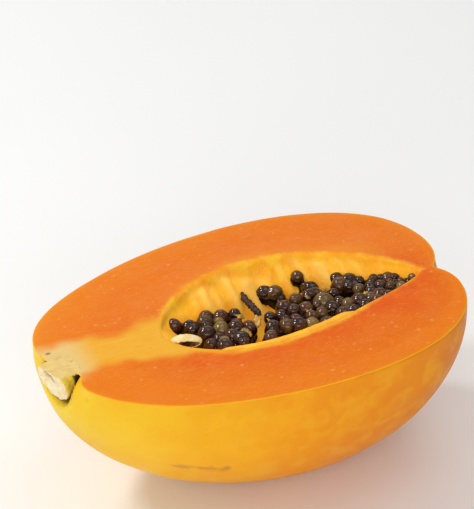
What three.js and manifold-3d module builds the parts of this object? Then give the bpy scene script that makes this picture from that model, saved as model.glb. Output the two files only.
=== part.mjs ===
// Half of a ripe papaya, cut lengthwise and lying on its skin with the cut face up.
// Millimetres, +Z up. +X runs from the stem end to the blossom end. While the pieces are made, the cut
// face is the plane Z = 0. The finished group stands on Z = 0, centred over the origin.
import * as THREE from "three";
import { ConvexGeometry } from "three/addons/geometries/ConvexGeometry.js";
import { mergeVertices } from "three/addons/utils/BufferGeometryUtils.js";
import Module from "manifold-3d";

const wasm = await Module();
wasm.setup();

// Driving dimensions of the fruit
const LENGTH = 200;
const HALF_WIDTH = 69.2;
const DEPTH = 85.6;
const REST_FLAT = 1.6; // how much of the belly the resting spot takes off
const STEM_TAPER = 0.457; // 0.5 is a round end, more is a pointed one, less a blunt one
const BLOSSOM_TAPER = 0.335;
const STEM_LEAN = 0.1; // how far the stem end slants back towards the near side
const LOBES = 5;
const LOBE_RISE = 0.035; // share of the radius, at the ends
const LOBE_TURN = 0.83;
const BODY_STATIONS = 54;
const BODY_SIDES = 48;

// Dents at the two ends: middle, depth, and how far each reaches to the near side, far side and down
const STEM_DENT = { y: -14.5, z: 0, depth: 10.5, near: 7.5, far: 13.5, down: 6, tip: 0.3 };
const BLOSSOM_DENT = { y: -6, z: 0, depth: 7.5, near: 7, far: 7, down: 7, tip: 0.3 };
const DENT_REACH = 50; // length of the end that moves with its dent

// The seed hollow
const HOLLOW_START = -42;
const HOLLOW_END = 85.4;
const HOLLOW_HALF_WIDTH = 31.2;
const HOLLOW_DEPTH = 27;
const HOLLOW_STEM_TAPER = 0.6;
const HOLLOW_BLOSSOM_TAPER = 0.815;
const HOLLOW_BOW = { x: 33, y: 3.8, stem: 29, blossom: 16.5 }; // its middle line bows sideways
const FAR_WALL = 0.62; // how the far wall leans: 1 is a straight slope, less is rounder
const NEAR_WALL = { bend: 1.5, lean: 0.55 };
const RIDGES = 5; // placenta ridges along the wall
const RIDGE_RISE = 0.035;
const HOLLOW_STATIONS = 34;
const HOLLOW_SIDES = 36;

// Stem stub
const STUB_RADIUS = 9.8;
const STUB_LENGTH = 16;
const STUB_TIP = new THREE.Vector3(-98.2, -6.4, -7.6);
const STUB_AIM = new THREE.Vector3(-0.91, -0.22, -0.34).normalize();
const STUB_SIDES = 28;

// Seeds
const SEED_RADIUS = 3.2;
const SEED_SPREAD = 0.12; // how far a seed's size strays, as a share
const SEED_JITTER = 0.7;
const HEAP_TOP = -4.6; // where the middles of the top seeds lie, at the near edge
const HEAP_FALL = 0.09; // how fast the heap falls towards the far wall
const FAR_SIDE = { y: 12, fall: 0.25 }; // past this it falls faster
const HIGHEST_SEED = -2.4;
const TIP_START = 66; // past this the heap rises into the tip of the hollow
const TIP_RISE = 0.16;
const OFF_WALL = 0.3; // share of its radius that a seed's middle stands off the wall
const BED = { radius: 3.6, drop: 2, depth: 14, sides: 5 }; // the packed seeds under each row
const RANDOM_SEED = 7;

const CLEARANCE = 0.35; // between a piece and the flesh round it
const CRUMB = 3; // cubic millimetres: a loose bit that a cut may leave, and that is dropped
const FAR = 400; // larger than the fruit, for the cutting blocks

// Rows of seeds along the placenta: first seed and last seed (X, Y), how many, and their size
const SEED_ROWS = {
  seeds_stem_end: [
    { from: [-31.5, 10.5], to: [-11, 7], count: 4, size: 1.05 },
    { from: [-15.5, 13.5], to: [-3, 7.5], count: 3, size: 1.1 },
    { from: [-24.5, 5], to: [-5, 1.5], count: 4, size: 0.95 },
    { from: [-20, -0.5], to: [-1, -3.5], count: 4, size: 1 },
    { from: [-16.5, -6.5], to: [-4.5, -8.5], count: 3, size: 0.95 },
    { from: [-22.5, -10], to: [-8, -13], count: 3, size: 1 },
    { from: [-18, -15], to: [-9, -17.5], count: 2, size: 1 },
  ],
  seeds_far_wall: [{ from: [19.3, 24.2], to: [23.5, 22], count: 2, size: 1.1, depth: 5 }],
  seeds_blossom_end: [
    { from: [3, -19.5], to: [8, -11], count: 3, size: 0.95 },
    { from: [8, -10.5], to: [31, -19.5], count: 5, size: 1.02 },
    { from: [11.5, -1.5], to: [34, -3], count: 5, size: 0.98 },
    { from: [15.5, -7.5], to: [33, -11], count: 4, size: 0.98 },
    { from: [20.5, 3.5], to: [34, 7.5], count: 3, size: 1 },
    { from: [36.2, 24.8], to: [39.5, 4], count: 5, size: 1.02 },
    { from: [38.5, -1], to: [40.5, -15.5], count: 3, size: 1.08 },
    { from: [45.5, 4.5], to: [45.5, -3.5], count: 2, size: 1 },
    { from: [46.5, -9], to: [64, -8.5], count: 4, size: 1 },
    { from: [47, -14.5], to: [66, -12.5], count: 4, size: 0.95 },
    { from: [50.5, 11], to: [61, -2.5], count: 4, size: 1.02 },
    { from: [52.7, 17], to: [65.5, 5.5], count: 4, size: 0.98 },
    { from: [63, 2], to: [73.5, -8.5], count: 4, size: 0.88 },
    { from: [67.5, 7], to: [75.5, 2], count: 4, size: 0.8 },
    { from: [71, -1.5], to: [82, -4.5], count: 5, size: 0.66 },
  ],
};

// The dried strand of placenta that hangs from the far wall down to the heap
const STRAND = [
  [7.6, 26.3],
  [7.9, 18.4],
  [7.2, 12],
  [7, 7],
  [7.8, 2.6],
];
const STRAND_RADIUS = 1.6;
const STRAND_STEP = 2;

// The pale empty seed coat at the stem end of the hollow: a small shell, split open on its near side
const COAT_PLACE = new THREE.Vector3(-32.5, -6.2, -4.2);
const COAT_SIZE = new THREE.Vector3(7.2, 3.4, 3.3);
const COAT_INSIDE = new THREE.Vector3(6, 2.6, 2.5);
const COAT_SPLIT = new THREE.Vector3(0, -1.25, 0.35); // how far the inside sits off the middle
const COAT_TURN = -0.38;

const COLOURS = {
  flesh: "#ee8428",
  stem: "#d2c368",
  seed: "#2b2019",
  coat: "#f3dc9c",
  strand: "#43261a",
};

let randomState = RANDOM_SEED;

// A number from 0 to 1, the same ones in each run.
function random() {
  randomState = (randomState * 1664525 + 1013904223) % 4294967296;
  return randomState / 4294967296;
}

function around(middle, spread) {
  return middle + (2 * random() - 1) * spread;
}

function smoothStep(t) {
  const x = Math.min(1, Math.max(0, t));
  return x * x * (3 - 2 * x);
}

// A width that rises from one pointed or round end to 1 and falls to the other.
function spindle(share, firstTaper, lastTaper) {
  const widest = firstTaper / (firstTaper + lastTaper);
  return (share / widest) ** firstTaper * ((1 - share) / (1 - widest)) ** lastTaper;
}

// Stations along a spindle, spaced so that its radius grows evenly from either end.
function station(step, steps, firstTaper, lastTaper) {
  const u = step / steps;
  const first = u ** (1 / firstTaper);
  const last = (1 - u) ** (1 / lastTaper);
  return first / (first + last);
}

// A closed body from rings of points between two poles. ringPoint(share, turn) gives a point.
function bodyOfRings(stations, sides, firstTaper, lastTaper, ringPoint) {
  const points = [ringPoint(0, 0)];
  for (let i = 1; i < stations; i++) {
    const share = station(i, stations, firstTaper, lastTaper);
    for (let j = 0; j < sides; j++) points.push(ringPoint(share, (2 * Math.PI * j) / sides));
  }
  points.push(ringPoint(1, 0));
  const last = points.length - 1;
  const at = (i, j) => 1 + (i - 1) * sides + (j % sides);
  const faces = [];
  for (let j = 0; j < sides; j++) {
    faces.push(0, at(1, j + 1), at(1, j));
    for (let i = 1; i < stations - 1; i++) {
      faces.push(at(i, j), at(i, j + 1), at(i + 1, j + 1));
      faces.push(at(i, j), at(i + 1, j + 1), at(i + 1, j));
    }
    faces.push(last, at(stations - 1, j), at(stations - 1, j + 1));
  }
  const geometry = new THREE.BufferGeometry().setFromPoints(points);
  geometry.setIndex(faces);
  return geometry;
}

// A three.js geometry as a solid that can be joined and cut.
function solid(geometry) {
  const bare = geometry.clone();
  bare.deleteAttribute("normal");
  bare.deleteAttribute("uv");
  const merged = mergeVertices(bare, 1e-4);
  const made = new wasm.Manifold(
    new wasm.Mesh({
      numProp: 3,
      vertProperties: new Float32Array(merged.attributes.position.array),
      triVerts: new Uint32Array(merged.index.array),
    }),
  );
  if (made.volume() < 0) throw new Error("a piece is inside out");
  return made;
}

function join(solids) {
  return solids.reduce((whole, piece) => whole.add(piece));
}

function block(low, high) {
  const size = new THREE.Vector3(...high).sub(new THREE.Vector3(...low));
  const middle = new THREE.Vector3(...low).addScaledVector(size, 0.5);
  const box = new THREE.BoxGeometry(size.x, size.y, size.z);
  return solid(box.translate(middle.x, middle.y, middle.z));
}

function meshOf(name, made, colour, roughness) {
  const data = made.getMesh();
  const geometry = new THREE.BufferGeometry();
  const position = new THREE.BufferAttribute(new Float32Array(data.vertProperties), 3);
  geometry.setAttribute("position", position);
  geometry.setIndex(new THREE.BufferAttribute(new Uint32Array(data.triVerts), 1));
  geometry.computeVertexNormals();
  const material = new THREE.MeshStandardMaterial({ color: colour, roughness, metalness: 0 });
  const mesh = new THREE.Mesh(geometry, material);
  mesh.name = name;
  return mesh;
}

// How strongly a point at (y, z) feels a dent, from 0 to 1.
function dentShare(dent, y, z) {
  const across = (y - dent.y) / (y < dent.y ? dent.near : dent.far);
  const below = (z - dent.z) / dent.down;
  return Math.exp(dent.tip - Math.hypot(across, below, dent.tip));
}

// Pulls the ends in at their dents, and slants the stem end.
function dented(point) {
  const half = LENGTH / 2;
  const nearBlossom = smoothStep((point.x - half + DENT_REACH) / DENT_REACH);
  const nearStem = smoothStep((-point.x - half + DENT_REACH) / DENT_REACH);
  point.x -= BLOSSOM_DENT.depth * dentShare(BLOSSOM_DENT, point.y, point.z) * nearBlossom;
  point.x += STEM_DENT.depth * dentShare(STEM_DENT, point.y, point.z) * nearStem;
  point.x -= STEM_LEAN * point.y * nearStem;
  return point;
}

// A point of the skin. Turn 0 is the far edge of the cut, and a quarter turn back is the belly.
function skinPoint(share, turn) {
  const lobe = LOBE_RISE * Math.abs(2 * share - 1) ** 3 * Math.cos(LOBES * (turn - LOBE_TURN));
  const radius = HALF_WIDTH * spindle(share, STEM_TAPER, BLOSSOM_TAPER) * (1 + lobe);
  const y = radius * Math.cos(turn);
  const z = (radius * Math.sin(turn) * DEPTH) / HALF_WIDTH;
  return dented(new THREE.Vector3((share - 0.5) * LENGTH, y, z));
}

// The hollow's middle line, which bows towards the far side.
function hollowMiddle(x) {
  const length = x < HOLLOW_BOW.x ? HOLLOW_BOW.stem : HOLLOW_BOW.blossom;
  return HOLLOW_BOW.y - ((x - HOLLOW_BOW.x) / length) ** 2;
}

// Half-width and depth of the hollow at x, as shares of their largest.
function hollowSpan(x) {
  const share = (x - HOLLOW_START) / (HOLLOW_END - HOLLOW_START);
  if (share <= 0 || share >= 1) return 0;
  return spindle(share, HOLLOW_STEM_TAPER, HOLLOW_BLOSSOM_TAPER);
}

// How far out the wall stands at a share of the depth: the far wall slopes, the near one is steep.
function wallShare(depthShare, isFar) {
  if (isFar) return (1 - depthShare) ** FAR_WALL;
  return (1 - depthShare ** NEAR_WALL.bend) ** NEAR_WALL.lean;
}

// A point of the hollow's wall, moved inwards by a gap.
function hollowPoint(share, turn, gap) {
  const x = HOLLOW_START + share * (HOLLOW_END - HOLLOW_START);
  const span = hollowSpan(x);
  const ridge = 1 + RIDGE_RISE * Math.cos(2 * RIDGES * turn + share * Math.PI);
  const inset = gap * Math.min(1, 14 * span);
  const across = Math.max(0, HOLLOW_HALF_WIDTH * span * ridge - inset);
  const down = Math.max(0, HOLLOW_DEPTH * span ** 0.85 * ridge - inset);
  const out = wallShare(Math.min(1, Math.abs(Math.sin(turn))), Math.cos(turn) > 0);
  const y = hollowMiddle(x) + Math.sign(Math.cos(turn)) * across * out;
  return new THREE.Vector3(x + 2 * gap * (1 - 2 * share), y, down * Math.sin(turn));
}

function hollow(gap) {
  const ringPoint = (share, turn) => hollowPoint(share, turn, gap);
  const tapers = [HOLLOW_STEM_TAPER, HOLLOW_BLOSSOM_TAPER];
  return solid(bodyOfRings(HOLLOW_STATIONS, HOLLOW_SIDES, ...tapers, ringPoint));
}

// The stub of the stem: a short round stalk with a sliced tip and a rounded root in the flesh.
function stub(grow) {
  const r = STUB_RADIUS + grow;
  const top = grow > 0 ? 4 : 0; // the socket runs out through the dent
  const profile = [
    [0, -STUB_LENGTH - grow],
    [r * 0.55, -STUB_LENGTH * 0.97 - grow],
    [r * 0.88, -STUB_LENGTH * 0.86],
    [r * 0.96, -STUB_LENGTH * 0.6],
    [r * 0.93, -STUB_LENGTH * 0.35],
    [r * 1.0, -STUB_LENGTH * 0.08],
    [r * 0.96, top],
    [0, top],
  ].map(([radius, along]) => new THREE.Vector2(radius, along));
  const lathe = new THREE.LatheGeometry(profile, STUB_SIDES);
  const turn = new THREE.Quaternion().setFromUnitVectors(new THREE.Vector3(0, 1, 0), STUB_AIM);
  lathe.applyQuaternion(turn);
  return solid(lathe.translate(STUB_TIP.x, STUB_TIP.y, STUB_TIP.z));
}

function fruitHalf() {
  const rings = bodyOfRings(BODY_STATIONS, BODY_SIDES, STEM_TAPER, BLOSSOM_TAPER, skinPoint);
  const keep = block([-FAR, -FAR, -DEPTH + REST_FLAT], [FAR, FAR, 0]);
  return solid(rings).intersect(keep).subtract(hollow(0)).subtract(stub(CLEARANCE));
}

// Height of the hollow's wall at (x, y).
function wallHeight(x, y) {
  const span = hollowSpan(x);
  const away = y - hollowMiddle(x);
  const out = Math.min(1, Math.abs(away) / (HOLLOW_HALF_WIDTH * span + 1e-6));
  const near = (1 - out ** (1 / NEAR_WALL.lean)) ** (1 / NEAR_WALL.bend);
  const depthShare = away > 0 ? 1 - out ** (1 / FAR_WALL) : near;
  return -HOLLOW_DEPTH * span ** 0.85 * depthShare;
}

// Height of the middle of a seed at (x, y): on the heap, or on the wall where that is higher.
function seedHeight(x, y, radius) {
  const fall = HEAP_FALL * (y + 25) + FAR_SIDE.fall * Math.max(0, y - FAR_SIDE.y);
  const heap = HEAP_TOP - fall + TIP_RISE * Math.max(0, x - TIP_START);
  const wall = wallHeight(x, y) + OFF_WALL * radius;
  return Math.min(HIGHEST_SEED, Math.max(heap, wall));
}

// A seed: a small egg, a little longer than wide, lying at any turn.
function seed(place, radius) {
  const shape = new THREE.DodecahedronGeometry(radius);
  shape.scale(1.1, 0.95, 0.95);
  shape.rotateX(around(0, Math.PI));
  shape.rotateZ(around(0, Math.PI));
  return solid(shape.translate(place.x, place.y, place.z));
}

// A row of seeds, and the bed of packed seeds that they stand out of.
function seedRow({ from, to, count, size, depth = BED.depth }) {
  const seeds = [];
  const bed = [];
  for (let i = 0; i < count; i++) {
    const share = i / (count - 1);
    const x = around(THREE.MathUtils.lerp(from[0], to[0], share), SEED_JITTER);
    const y = around(THREE.MathUtils.lerp(from[1], to[1], share), SEED_JITTER);
    const radius = SEED_RADIUS * size * around(1, SEED_SPREAD);
    const place = new THREE.Vector3(x, y, around(seedHeight(x, y, radius), SEED_JITTER / 2));
    seeds.push(seed(place, radius));
    for (let j = 0; j < BED.sides; j++) {
      const turn = (2 * Math.PI * j) / BED.sides;
      const edge = new THREE.Vector3(Math.cos(turn), Math.sin(turn), 0);
      edge.multiplyScalar(BED.radius * size).add(place);
      bed.push(edge.clone().setZ(place.z - BED.drop * size));
      bed.push(edge.clone().setZ(place.z - depth));
    }
  }
  return join([...seeds, solid(new ConvexGeometry(bed))]);
}

// The dried strand, as beads along its curve.
function strand() {
  const points = STRAND.map(([x, y]) => {
    return new THREE.Vector3(x, y, seedHeight(x, y, STRAND_RADIUS));
  });
  const curve = new THREE.CatmullRomCurve3(points);
  const steps = Math.round(curve.getLength() / STRAND_STEP);
  const beads = [];
  for (let i = 0; i <= steps; i++) {
    const bead = new THREE.IcosahedronGeometry(around(STRAND_RADIUS, 0.25), 0);
    const place = curve.getPointAt(i / steps);
    beads.push(solid(bead.translate(place.x, place.y, place.z)));
  }
  return join(beads);
}

function coatPart(size, shift) {
  const ball = new THREE.SphereGeometry(1, 16, 10).scale(size.x, size.y, size.z);
  ball.translate(shift.x, shift.y, shift.z).rotateZ(COAT_TURN);
  return solid(ball.translate(COAT_PLACE.x, COAT_PLACE.y, COAT_PLACE.z));
}

// The one closed body of a solid, without the crumbs that a cut leaves.
function oneBody(made) {
  const bodies = made.decompose().filter((body) => body.volume() > CRUMB);
  const places = bodies.map((body) => JSON.stringify(body.boundingBox()));
  if (bodies.length !== 1) throw new Error(`a piece is in ${bodies.length} bodies: ${places}`);
  return bodies[0];
}

const papaya = new THREE.Group();
const room = hollow(CLEARANCE);
const centred = new THREE.Vector3();
const cutStub = stub(0).intersect(block([-FAR, -FAR, -FAR], [FAR, FAR, 0]));
const coat = coatPart(COAT_SIZE, centred).subtract(coatPart(COAT_INSIDE, COAT_SPLIT));
const roomForCoat = coatPart(COAT_SIZE.clone().addScalar(CLEARANCE), centred);

papaya.add(meshOf("fruit_half", oneBody(fruitHalf()), COLOURS.flesh, 0.45));
papaya.add(meshOf("stem_stub", cutStub, COLOURS.stem, 0.7));
papaya.add(meshOf("empty_seed_coat", oneBody(coat.intersect(room)), COLOURS.coat, 0.4));
for (const [name, rows] of Object.entries(SEED_ROWS)) {
  const clump = join(rows.map(seedRow)).subtract(roomForCoat).intersect(room);
  papaya.add(meshOf(name, oneBody(clump), COLOURS.seed, 0.25));
}
papaya.add(meshOf("dried_strand", oneBody(strand().intersect(room)), COLOURS.strand, 0.8));

// Stands the half on its resting spot, centred over the origin.
const extent = new THREE.Box3().setFromObject(papaya);
const centre = extent.getCenter(new THREE.Vector3());
papaya.position.set(-centre.x, -centre.y, -extent.min.z);

export default papaya;
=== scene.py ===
"""Half of a ripe papaya, cut lengthwise and lying on its skin with the cut face up.

Sizes are in millimetres from the middle of the cut face, as in the part's source: +X runs to the
blossom end, +Y to the far side and +Z up. to_frame() turns them into the frame's metres.
"""

import logging
import math
from dataclasses import dataclass, field
from enum import Enum

import bpy
import numpy as np
from mathutils import Euler, Matrix, Vector
from mathutils.kdtree import KDTree


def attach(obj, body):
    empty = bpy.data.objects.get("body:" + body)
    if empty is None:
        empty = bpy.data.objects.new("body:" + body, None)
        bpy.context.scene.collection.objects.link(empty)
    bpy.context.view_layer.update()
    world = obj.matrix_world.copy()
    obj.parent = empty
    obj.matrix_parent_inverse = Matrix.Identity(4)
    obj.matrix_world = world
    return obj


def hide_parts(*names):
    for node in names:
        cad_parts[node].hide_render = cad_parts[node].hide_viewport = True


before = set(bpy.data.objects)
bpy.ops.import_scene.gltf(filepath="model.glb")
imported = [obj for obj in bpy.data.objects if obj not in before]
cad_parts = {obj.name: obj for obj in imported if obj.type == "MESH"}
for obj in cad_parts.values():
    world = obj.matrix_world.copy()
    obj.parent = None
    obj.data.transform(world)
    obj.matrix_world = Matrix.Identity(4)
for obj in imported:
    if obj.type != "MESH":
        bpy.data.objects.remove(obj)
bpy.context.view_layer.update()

LOG = logging.getLogger("papaya")
MM = 0.001
CUT_MIDDLE = np.array((1.444, 0.0074, 84.0))  # where the middle of the cut face lies in the frame
TO_CAMERA = (-0.301, -0.767, 0.567)  # from the papaya, so that the pith and slant face the camera


def to_frame(points: np.ndarray) -> np.ndarray:
    """Turns millimetres from the middle of the cut face into the frame's metres."""
    return (np.asarray(points, float) + CUT_MIDDLE) * MM


def linear(code: str) -> tuple[float, float, float, float]:
    """Turns a colour code such as "f5b52a" into the linear colour that a shader takes."""
    parts = [int(code[i : i + 2], 16) / 255 for i in (0, 2, 4)]
    red, green, blue = [p / 12.92 if p <= 0.04045 else ((p + 0.055) / 1.055) ** 2.4 for p in parts]
    return red, green, blue, 1.0


def smooth_step(value: np.ndarray, low: float, high: float) -> np.ndarray:
    """Rises smoothly from 0 at low to 1 at high."""
    share = np.clip((np.asarray(value, float) - low) / (high - low), 0, 1)
    return share * share * (3 - 2 * share)


def smooth_min(first: np.ndarray, second: np.ndarray, radius: float) -> np.ndarray:
    """Returns the lower of two heights, with the corner between them rounded.

    Args:
        first: One height for each point.
        second: The other height for each point.
        radius: How near the heights come before they are blended.

    Returns:
        The blended heights, never above either of the two.
    """
    share = np.clip(0.5 + 0.5 * (second - first) / radius, 0, 1)
    return second + (first - second) * share - radius * share * (1 - share)


class Ripple:
    """Smooth seeded unevenness: a sum of waves in random directions."""

    def __init__(self, wavelength: float, seed: int, stretch: tuple = (1, 1, 1)) -> None:
        """Draws the waves.

        Args:
            wavelength: The usual distance between two crests, in millimetres.
            seed: Starts the random draw.
            stretch: How much longer the waves are along each axis.
        """
        draw = np.random.default_rng(seed)
        directions = draw.normal(size=(16, 3))
        directions /= np.linalg.norm(directions, axis=1)[:, None]
        pace = 2 * math.pi / wavelength * draw.uniform(0.5, 1.7, 16)
        self.waves = directions * pace[:, None] / np.array(stretch)
        self.phases = draw.uniform(0, 2 * math.pi, 16)

    def at(self, points: np.ndarray) -> np.ndarray:
        """Returns the unevenness at each point, mostly from -1 to 1."""
        return np.sin(points @ self.waves.T + self.phases).sum(axis=1) / 4


# Blender helpers


def deselect() -> None:
    """Leaves nothing selected."""
    bpy.ops.object.select_all(action="DESELECT")


def added(name: str) -> bpy.types.Object:
    """Names the primitive that was just added, and returns it."""
    made = bpy.context.active_object
    made.name = made.data.name = name
    return made


def points_of(piece: bpy.types.Object) -> np.ndarray:
    """Returns the places of a mesh's vertices, one row each."""
    flat = np.zeros(len(piece.data.vertices) * 3)
    piece.data.vertices.foreach_get("co", flat)
    return flat.reshape(-1, 3)


def move_points(piece: bpy.types.Object, points: np.ndarray) -> None:
    """Puts a mesh's vertices at the given places."""
    piece.data.vertices.foreach_set("co", np.asarray(points, np.float32).ravel())
    piece.data.update()


def store(piece: bpy.types.Object, name: str, values: np.ndarray) -> None:
    """Stores one number for each vertex, for a material to read."""
    attribute = piece.data.attributes.new(name, "FLOAT", "POINT")
    attribute.data.foreach_set("value", np.asarray(values, np.float32))


def edit(piece: bpy.types.Object) -> None:
    """Goes into edit mode on a piece, with all of it selected."""
    deselect()
    bpy.context.view_layer.objects.active = piece
    piece.select_set(True)
    bpy.ops.object.mode_set(mode="EDIT")
    bpy.ops.mesh.select_mode(type="VERT")
    bpy.ops.mesh.select_all(action="SELECT")


def tidy(piece: bpy.types.Object, merge: float = 0.0) -> None:
    """Merges doubled points, turns the faces outwards and shades them smooth.

    Args:
        piece: The mesh to tidy.
        merge: Points nearer than this, in metres, are merged. 0 merges none.
    """
    edit(piece)
    if merge > 0:
        bpy.ops.mesh.remove_doubles(threshold=merge)
    bpy.ops.mesh.normals_make_consistent(inside=False)
    bpy.ops.mesh.faces_shade_smooth()
    bpy.ops.object.mode_set(mode="OBJECT")
    deselect()


def use_modifier(piece: bpy.types.Object, kind: str, **settings: object) -> None:
    """Adds a modifier with these settings and applies it."""
    bpy.context.view_layer.objects.active = piece
    modifier = piece.modifiers.new(kind.title(), kind)
    for name, value in settings.items():
        setattr(modifier, name, value)
    bpy.ops.object.modifier_apply(modifier=modifier.name)


def join(pieces: list[bpy.types.Object], name: str) -> bpy.types.Object:
    """Joins objects into one mesh with that name."""
    deselect()
    for piece in pieces:
        piece.select_set(True)
    bpy.context.view_layer.objects.active = pieces[0]
    bpy.ops.object.join()
    made = added(name)
    deselect()
    return made


def copy_of(piece: bpy.types.Object) -> bpy.types.Object:
    """Returns a copy of an object that has its own mesh."""
    made = piece.copy()
    made.data = piece.data.copy()
    bpy.context.scene.collection.objects.link(made)
    return made


def tube(name: str, path: np.ndarray, radii: np.ndarray, sides: int) -> bpy.types.Object:
    """Makes a closed tube along a path, from a primitive sphere's rings.

    Args:
        name: The new object's name.
        path: Points along the middle, in millimetres, one row each.
        radii: The tube's radius at each point.
        sides: How many faces go round it.

    Returns:
        The new object, with closed pointed ends.
    """
    deselect()
    bpy.ops.mesh.primitive_uv_sphere_add(segments=sides, ring_count=len(path) + 1, radius=1)
    made = added(name)
    start = points_of(made)
    polar = np.arccos(np.clip(start[:, 2], -1, 1))
    ring = np.rint(polar / math.pi * (len(path) + 1)).astype(int)
    turn = np.arctan2(start[:, 1], start[:, 0])
    path = np.asarray(path, float)
    forward = np.gradient(path, axis=0)
    forward /= np.linalg.norm(forward, axis=1)[:, None]
    across = np.cross(forward, (0.05, 0.1, 1.0))
    across /= np.linalg.norm(across, axis=1)[:, None]
    upward = np.cross(across, forward)
    at = np.clip(ring - 1, 0, len(path) - 1)
    inside = (ring > 0) & (ring <= len(path))
    reach = np.where(inside, np.asarray(radii)[at], 0)[:, None]
    round_it = across[at] * np.cos(turn)[:, None] + upward[at] * np.sin(turn)[:, None]
    end = np.where(ring == 0, -1, np.where(ring > len(path), 1, 0))[:, None]
    tip = forward[at] * end * np.asarray(radii)[at][:, None]
    move_points(made, to_frame(path[at] + round_it * reach + tip))
    return made


# Shape of the fruit, from the same dimensions as the part's source


@dataclass(frozen=True)
class Dent:
    """A dent at one end of the fruit: its middle, its depth and how far it reaches."""

    y: float
    depth: float
    near: float
    far: float
    down: float
    tip: float = 0.3

    def share(self, y: np.ndarray, z: np.ndarray) -> np.ndarray:
        """Returns how strongly each point feels the dent, from 0 to 1."""
        across = (y - self.y) / np.where(y < self.y, self.near, self.far)
        return np.exp(self.tip - np.sqrt(across**2 + (z / self.down) ** 2 + self.tip**2))


def spindle(share: np.ndarray, first: float, last: float) -> np.ndarray:
    """A width that rises from one end to 1 and falls to the other; first and last are tapers."""
    widest = first / (first + last)
    share = np.clip(share, 0, 1)
    return (share / widest) ** first * ((1 - share) / (1 - widest)) ** last


@dataclass(frozen=True)
class FruitShape:
    """The outside of the fruit."""

    length: float = 200.0
    half_width: float = 69.2
    depth: float = 85.6
    rest_flat: float = 1.6
    stem_taper: float = 0.457
    blossom_taper: float = 0.335
    stem_lean: float = 0.1
    lobes: int = 5
    lobe_rise: float = 0.035
    lobe_turn: float = 0.83
    stem_dent: Dent = Dent(-14.5, 10.5, 7.5, 13.5, 6.0)
    blossom_dent: Dent = Dent(-6.0, 7.5, 7.0, 7.0, 7.0)
    dent_reach: float = 50.0

    def dented(self, x: np.ndarray, y: np.ndarray, z: np.ndarray) -> np.ndarray:
        """Returns x after the dents and the slant of the stem end have moved it."""
        edge = self.length / 2 - self.dent_reach
        near_blossom = smooth_step(x, edge, edge + self.dent_reach)
        near_stem = smooth_step(-x, edge, edge + self.dent_reach)
        moved = x - self.blossom_dent.depth * self.blossom_dent.share(y, z) * near_blossom
        moved = moved + self.stem_dent.depth * self.stem_dent.share(y, z) * near_stem
        return moved - self.stem_lean * y * near_stem

    def skin(self, share: float, turn: np.ndarray) -> np.ndarray:
        """Returns points of the skin.

        Args:
            share: How far along the fruit, from 0 at the stem end to 1.
            turn: The turn round it for each point; half a turn is the near edge of the cut.

        Returns:
            One row for each point, in millimetres.
        """
        wave = np.cos(self.lobes * (turn - self.lobe_turn))
        lobe = self.lobe_rise * abs(2 * share - 1) ** 3 * wave
        radius = self.half_width * spindle(share, self.stem_taper, self.blossom_taper) * (1 + lobe)
        y = radius * np.cos(turn)
        z = radius * np.sin(turn) * self.depth / self.half_width
        x = self.dented(np.full_like(y, (share - 0.5) * self.length), y, z)
        return np.stack((x, y, z), axis=1)

    def stations(self, count: int, busy: tuple[float, float], weight: float) -> np.ndarray:
        """Spaces rings evenly along the outline from pole to pole.

        Args:
            count: How many steps there are between the two poles.
            busy: The stretch of x where the rings lie closer.
            weight: How much closer they lie there.

        Returns:
            The share along the fruit for each ring, poles included.
        """
        u = np.linspace(0, 1, 6001)
        first, last = u ** (1 / self.stem_taper), (1 - u) ** (1 / self.blossom_taper)
        share = first / (first + last)
        x = (share - 0.5) * self.length
        radius = self.half_width * spindle(share, self.stem_taper, self.blossom_taper)
        pace = np.where((x > busy[0]) & (x < busy[1]), weight, 1.0)
        steps = np.hypot(np.diff(x), np.diff(radius)) * pace[1:]
        along = np.concatenate(([0], np.cumsum(steps)))
        return np.interp(np.linspace(0, along[-1], count + 1), along, share)


@dataclass(frozen=True)
class HollowShape:
    """The seed hollow in the cut face."""

    start: float = -42.0
    end: float = 85.4
    half_width: float = 31.2
    depth: float = 27.0
    stem_taper: float = 0.6
    blossom_taper: float = 0.815
    bow: tuple[float, float, float, float] = (33.0, 3.8, 29.0, 16.5)
    far_lean: float = 0.62
    near_bend: float = 1.5
    near_lean: float = 0.55
    ridge_rise: float = 0.035

    def middle(self, x: np.ndarray) -> np.ndarray:
        """Returns y of the middle line, which bows to the far side."""
        at, y, stem, blossom = self.bow
        return y - ((x - at) / np.where(x < at, stem, blossom)) ** 2

    def span(self, x: np.ndarray) -> np.ndarray:
        """Returns the width at x as a share of the largest, and 0 outside the hollow."""
        share = (x - self.start) / (self.end - self.start)
        inside = (share > 0) & (share < 1)
        return np.where(inside, spindle(share, self.stem_taper, self.blossom_taper), 0)

    def reach(self, x: np.ndarray) -> np.ndarray:
        """Returns how far the rim stands from the middle line at x."""
        share = np.clip((x - self.start) / (self.end - self.start), 0, 1)
        return self.half_width * self.span(x) * (1 + self.ridge_rise * np.cos(share * math.pi))

    def deep(self, x: np.ndarray) -> np.ndarray:
        """Returns the depth of the hollow at x."""
        return self.depth * self.span(x) ** 0.85

    def fall(self, x: np.ndarray, y: np.ndarray) -> tuple[np.ndarray, np.ndarray]:
        """Returns the share of the depth at each point and how far inside the rim it lies.

        Args:
            x: Along the fruit, in millimetres.
            y: Across the fruit.

        Returns:
            The share, from 0 at the rim to 1 at the deepest line, and the distance inside the
            rim, which is negative outside it.
        """
        away = y - self.middle(x)
        reach = self.reach(x)
        out = np.clip(np.abs(away) / (reach + 1e-6), 0, 1)
        far = 1 - out ** (1 / self.far_lean)
        near = (1 - out ** (1 / self.near_lean)) ** (1 / self.near_bend)
        return np.where(away > 0, far, near), reach - np.abs(away)

    def wall(self, x: np.ndarray, y: np.ndarray) -> np.ndarray:
        """Returns the height of the plain wall at each point, 0 on the cut face."""
        return -self.deep(x) * self.fall(x, y)[0]


FRUIT = FruitShape()
HOLLOW = HollowShape()


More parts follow.
